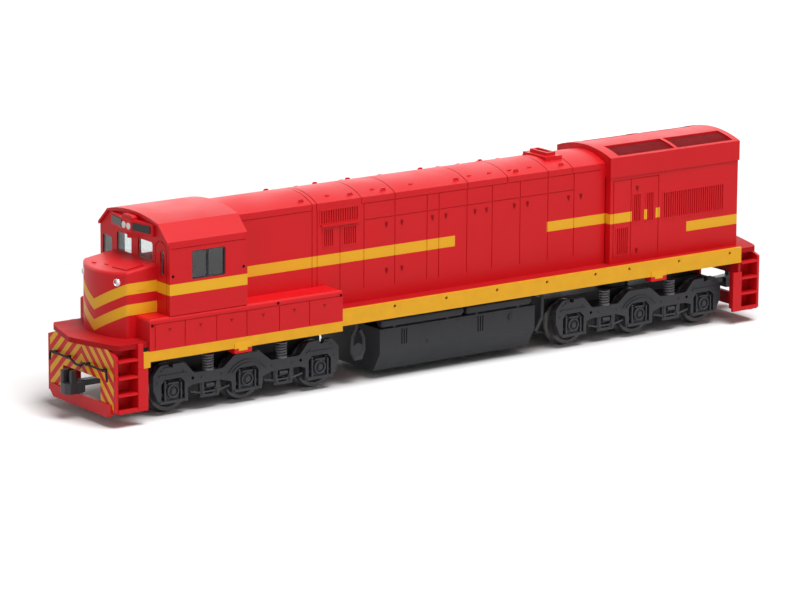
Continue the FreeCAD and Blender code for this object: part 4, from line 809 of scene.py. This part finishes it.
def buildNose():
    # A bowed front between two crisp corners, under a top that rises to the cab
    shape = bmesh.new()
    half = noseValues["half"]
    bow = noseValues["frontX"] - noseValues["cornerX"]
    radius = (half ** 2 + bow ** 2) / (2 * bow)
    sweep = math.asin(half / radius)
    outline = [(noseValues["rearX"], -half, noseValues["foot"])]
    for number in range(noseValues["arcSteps"] + 1):
        angle = sweep * (2 * number / noseValues["arcSteps"] - 1)
        outline.append((noseValues["frontX"] - radius + radius * math.cos(angle), radius * math.sin(angle),
                        noseValues["foot"]))
    outline.append((noseValues["rearX"], half, noseValues["foot"]))
    verts = [shape.verts.new(Vector(point) * mm) for point in outline]
    grown = bmesh.ops.extrude_face_region(shape, geom=[shape.faces.new(verts)])["geom"]
    for vert in grown:
        if isinstance(vert, bmesh.types.BMVert):
            vert.co.z = noseTop(vert.co.x / mm) * mm
    bmesh.ops.recalc_face_normals(shape, faces=shape.faces)
    corners = []
    for edge in shape.edges:
        first, last = edge.verts[0].co / mm, edge.verts[1].co / mm
        upright = abs(first.z - last.z) > noseValues["tall"]
        if upright and abs((first.x + last.x) / 2 - noseValues["cornerX"]) < noseValues["loose"]:
            corners.append(edge)
    softenEdges(shape, corners, noseValues["cornerRound"], 3)
    rim = []
    for edge in shape.edges:
        first, last = edge.verts[0].co / mm, edge.verts[1].co / mm
        onTop = min(first.z, last.z) > noseValues["rimFrom"]
        if onTop and (first.x + last.x) / 2 > noseValues["rearX"] + noseValues["loose"]:
            rim.append(edge)
    softenEdges(shape, rim, noseValues["rimRound"], 4)
    piece = newPiece("shortNose", shape, "nose", "body")
    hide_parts("short_nose")


def buildNoseHatch():
    shape = bmesh.new()
    gap = noseValues["gap"]
    middleX, middleY = noseValues["hatchMiddle"]
    outline = []
    for x, y in noseValues["hatch"]:
        outward = (x + math.copysign(gap, x - middleX), y + math.copysign(gap, y - middleY))
        outline.append((*outward, noseTop(outward[0]) - noseValues["gapSink"]))
    addPrism(shape, outline, (0, 0, noseValues["gapLift"]))
    newPiece("noseHatchGap", shape, "recess", "body")
    shape = bmesh.new()
    sink = noseValues["hatchSink"]
    outline = [(x, y, noseTop(x) - sink) for x, y in noseValues["hatch"]]
    addPrism(shape, outline, (0, 0, noseValues["lift"] + sink), noseValues["hatchSoft"])
    halfX, halfY = noseValues["markHalf"]
    low, high = noseValues["markUpright"]
    for x, y in noseValues["marks"]:
        addBlock(shape, (x - halfX, y - halfY, noseTop(x) + low), (x + halfX, y + halfY, noseTop(x) + high))
    half = noseValues["ledgeHalf"]
    for z in noseValues["ledges"]:
        for side in (-1, 1):
            addSideBlock(shape, side, noseValues["ledgeAlong"], noseValues["ledgeAcross"],
                         (z - half, z + half), noseValues["ledgeSoft"])
    newPiece("noseHatch", shape, "nose", "body")


# Plates that close the step wells behind the treads and beside the sills
stepValues = {
    "well": (103.3, 109.3),
    "inner": 12.62,
    "foot": 4.0,
    "deck": 21.0,
    "thick": 0.3,
    "soft": 0.05,
    "filler": ((101.55, 103.2), (16.5, 17.25), (15.5, 22.3)),
    "fillerSoft": 0.08,
}


def buildStepPlates():
    # Thin red plates in the same moulding as the treads, four wells alike
    shape = bmesh.new()
    across = (stepValues["inner"], stepValues["inner"] + stepValues["thick"])
    upright = (stepValues["foot"], stepValues["deck"])
    for end in (-1, 1):
        along = sorted(end * x for x in stepValues["well"])
        for side in (-1, 1):
            addSideBlock(shape, side, along, across, upright, stepValues["soft"])
    for side in (-1, 1):
        addSideBlock(shape, side, *stepValues["filler"], stepValues["fillerSoft"])
    newPiece("stepPlates", shape, "body", "body")


def archHeight(values, y):
    # Height of an arched roof at y, from its half width, edge and crest
    rise = values["crest"] - values["edge"]
    radius = (values["half"] ** 2 + rise ** 2) / (2 * rise)
    return values["crest"] - radius + math.sqrt(radius ** 2 - y ** 2)


# Fine slats in the radiator's roof recesses
slatValues = {
    "spans": ((-81.9, -61.8), (-103.2, -83.1)),
    "pitch": 0.52,
    "thick": 0.2,
    "inner": 4.75,
    "outer": 11.45,
    "half": 12.5,
    "edge": 53.2,
    "crest": 55.4,
    "top": 0.4,
    "bottom": 0.72,
    "bends": 3,
}


def buildRoofSlats():
    # Each slat is a thin strip across the recess, bent to the roof's curve and a little below it
    shape = bmesh.new()
    reach = slatValues["outer"] - slatValues["inner"]
    bends = slatValues["bends"]
    for low, high in slatValues["spans"]:
        count = round((high - low) / slatValues["pitch"])
        for number in range(count):
            x = low + (number + 0.5) * (high - low) / count - slatValues["thick"] / 2
            for side in (-1, 1):
                strip = []
                for drop, steps in (("top", range(bends + 1)), ("bottom", range(bends, -1, -1))):
                    for step in steps:
                        y = slatValues["inner"] + reach * step / bends
                        strip.append((x, side * y, archHeight(slatValues, y) - slatValues[drop]))
                addPrism(shape, strip, (slatValues["thick"], 0, 0))
    # The slats take the darker catch red: painted shade in the roof recesses
    newPiece("roofSlats", shape, "catch", "body")


# Hinges along the roof doors of the long hood
hingeValues = {
    "places": (-12.0, -19.0, -26.0, -33.0, 21.0, 8.0, 36.0),
    "across": 7.4,
    "length": 1.3,
    "radius": 0.22,
    "tip": 0.06,
    "stand": 0.05,
    "edge": 51.5,
    "crest": 54.0,
    "half": 10.0,
}


def buildRoofHinges():
    # Short knuckles with rounded ends, laid along the hood where its roof doors turn
    shape = bmesh.new()
    radius = hingeValues["radius"]
    length = hingeValues["length"]
    tip = hingeValues["tip"]
    for x in hingeValues["places"]:
        for side in (-1, 1):
            y = side * hingeValues["across"]
            z = archHeight(hingeValues, y) + hingeValues["stand"]
            addTurned(shape, (x - length / 2, y, z), (1, 0, 0),
                      [(0, 0), (radius, tip), (radius, length - tip), (0, length)], 10)
    newPiece("roofHinges", shape, "body", "body")


# Fuel tank: a drain plug, a filler neck and bolts along the top of each side
tankValues = {
    "half": 14.3,
    "plug": (6.8, 9.7),
    "plugForm": [(0.55, -0.05), (0.55, 0.1), (0.3, 0.14), (0.3, 0.3), (0, 0.34)],
    "neck": (-22.0, 12.4),
    "neckForm": [(1.0, -0.05), (1.0, 0.3), (0.85, 0.42), (0.4, 0.42), (0.4, 0.6), (0, 0.62)],
    "boltCount": 9,
    "boltStart": 21.0,
    "boltPitch": 6.15,
    "boltHeight": 14.1,
    "boltForm": [(0.22, -0.05), (0.22, 0.12), (0, 0.18)],
}


def buildTankFittings():
    shape = bmesh.new()
    for side in (-1, 1):
        out = (0, side, 0)
        y = side * tankValues["half"]
        x, z = tankValues["plug"]
        addTurned(shape, (x, y, z), out, tankValues["plugForm"], 12)
        x, z = tankValues["neck"]
        addTurned(shape, (x, y, z), out, tankValues["neckForm"], 18)
        for number in range(tankValues["boltCount"]):
            x = tankValues["boltStart"] - number * tankValues["boltPitch"]
            addTurned(shape, (x, y, tankValues["boltHeight"]), out, tankValues["boltForm"], 6)
    newPiece("tankFittings", shape, "underframe", "body")


# Inside of the cab, seen dimly through the panes: low and high corners, then how soft the edges are
cabinValues = {
    "controlStand": ((88.6, 5.0, 29.3), (91.8, 15.0, 35.0), 0.4),
    "rearCabinet": ((69.5, -9.0, 29.3), (71.5, 9.0, 44.0), 0.3),
    "seatAcross": (10.6, -10.6),
    "seatHalf": 2.2,
    "seatPad": ((78.5, 29.3), (82.5, 33.2), 0.5),
    "seatBack": ((77.7, 33.0), (78.9, 38.0), 0.4),
}


def buildCabInside():
    shape = bmesh.new()
    addBlock(shape, *cabinValues["controlStand"])
    addBlock(shape, *cabinValues["rearCabinet"])
    half = cabinValues["seatHalf"]
    for y in cabinValues["seatAcross"]:
        for name in ("seatPad", "seatBack"):
            (rear, bottom), (front, top), soft = cabinValues[name]
            addBlock(shape, (rear, y - half, bottom), (front, y + half, top), soft)
    newPiece("cabInside", shape, "cabin", "body")


buildSprings()
buildTruckFittings()
buildLatches()
buildSideMarks()
buildLampRims()
buildNose()
buildNoseHatch()
buildStepPlates()
buildRoofSlats()
buildRoofHinges()
buildTankFittings()
buildCabInside()


# Stage: a pale floor, soft lights and the camera

stageValues = {
    "floorSize": 8.0,
    "floorColour": "#F4F4F4",
    "floorBounce": "#E0E0E0",
    "floorRoughness": 0.9,
    "floorGloss": 0.1,
    "glowReach": (0.16, 0.6),
    "glowStrength": 0.7,
    "skyColour": "#FFFFFF",
    "skyStrength": 0.18,
    "gleamStrength": 1.9,
    "keySize": 0.8,
    "keyPower": 30.0,
    "keyPlace": (-0.05, 0.58, 1.54),
    "fillPower": 3.5,
    "fillPlace": (1.5, 0.9, 0.8),
}


def seenDirectly(tree, path):
    # True for what the camera sees, also through the clear panes
    return mathNode(tree, "MAXIMUM", path.outputs["Is Camera Ray"], path.outputs["Is Transmission Ray"])


def buildStage():
    grid = bmesh.new()
    bmesh.ops.create_grid(grid, x_segments=1, y_segments=1, size=stageValues["floorSize"] / 2)
    mesh = bpy.data.meshes.new("floor")
    grid.to_mesh(mesh)
    grid.free()
    floor = bpy.data.objects.new("floor", mesh)
    bpy.context.scene.collection.objects.link(floor)
    material, tree, shader = newMaterial("floorPaper")
    path = addNode(tree, "ShaderNodeLightPath")
    paper = addNode(tree, "ShaderNodeMix", {"data_type": "RGBA", 6: linearColour(stageValues["floorBounce"]),
                                            7: linearColour(stageValues["floorColour"])},
                    {0: seenDirectly(tree, path)})
    tree.links.new(paper.outputs[2], shader.inputs["Base Color"])
    place = addNode(tree, "ShaderNodeTexCoord")
    away = addNode(tree, "ShaderNodeVectorMath", {"operation": "LENGTH"}, {0: place.outputs["Object"]})
    near, far = stageValues["glowReach"]
    glow = addNode(tree, "ShaderNodeMapRange", {"From Min": near, "From Max": far, "To Min": 0.0,
                                                "To Max": stageValues["glowStrength"]},
                   {"Value": away.outputs["Value"]})
    tree.links.new(mathNode(tree, "MULTIPLY", glow.outputs[0], seenDirectly(tree, path)),
                   shader.inputs["Emission Strength"])
    shader.inputs["Emission Color"].default_value = linearColour(stageValues["floorColour"])
    shader.inputs["Roughness"].default_value = stageValues["floorRoughness"]
    shader.inputs["Specular IOR Level"].default_value = stageValues["floorGloss"]
    mesh.materials.append(material)


def aimedLight(name, place, size, power):
    data = bpy.data.lights.new(name, "AREA")
    data.shape = "SQUARE"
    data.size = size
    data.energy = power
    light = bpy.data.objects.new(name, data)
    light.location = place
    light.rotation_euler = (-Vector(place)).to_track_quat("-Z", "Y").to_euler()
    bpy.context.scene.collection.objects.link(light)


def buildWorld():
    world = bpy.data.worlds.new("studio")
    world.use_nodes = True
    tree = world.node_tree
    tree.nodes.clear()
    path = addNode(tree, "ShaderNodeLightPath")
    sky = addNode(tree, "ShaderNodeBackground", {"Color": linearColour(stageValues["skyColour"]),
                                                 "Strength": stageValues["skyStrength"]})
    gleam = addNode(tree, "ShaderNodeBackground", {"Color": linearColour(stageValues["skyColour"]),
                                                   "Strength": stageValues["gleamStrength"]})
    backdrop = addNode(tree, "ShaderNodeBackground", {"Color": linearColour(stageValues["skyColour"]),
                                                      "Strength": 1.0})
    lit = addNode(tree, "ShaderNodeMixShader", {}, {0: path.outputs["Is Glossy Ray"], 1: sky.outputs[0],
                                                    2: gleam.outputs[0]})
    mix = addNode(tree, "ShaderNodeMixShader", {}, {0: seenDirectly(tree, path), 1: lit.outputs[0],
                                                    2: backdrop.outputs[0]})
    addNode(tree, "ShaderNodeOutputWorld", {}, {"Surface": mix.outputs[0]})
    bpy.context.scene.world = world


def buildCamera():
    azimuth = math.radians(cameraValues["azimuth"])
    elevation = math.radians(cameraValues["elevation"])
    roll = math.radians(cameraValues["roll"])
    back = Vector((math.sin(azimuth) * math.cos(elevation), -math.cos(azimuth) * math.cos(elevation),
                   math.sin(elevation)))
    right = Vector((math.cos(azimuth), math.sin(azimuth), 0))
    up = back.cross(right)
    turnedRight = right * math.cos(roll) + up * math.sin(roll)
    turnedUp = up * math.cos(roll) - right * math.sin(roll)
    data = bpy.data.cameras.new("camera")
    data.sensor_width = 36
    data.lens = cameraValues["lens"]
    camera = bpy.data.objects.new("camera", data)
    matrix = Matrix((turnedRight, turnedUp, back)).transposed().to_4x4()
    matrix.translation = Vector(cameraValues["position"])
    camera.matrix_world = matrix
    bpy.context.scene.collection.objects.link(camera)
    bpy.context.scene.camera = camera


buildStage()
aimedLight("keyLight", stageValues["keyPlace"], stageValues["keySize"], stageValues["keyPower"])
aimedLight("fillLight", stageValues["fillPlace"], stageValues["keySize"], stageValues["fillPower"])
buildWorld()
buildCamera()
bpy.context.scene.view_settings.view_transform = "Standard"
print("stage, lights and camera built")
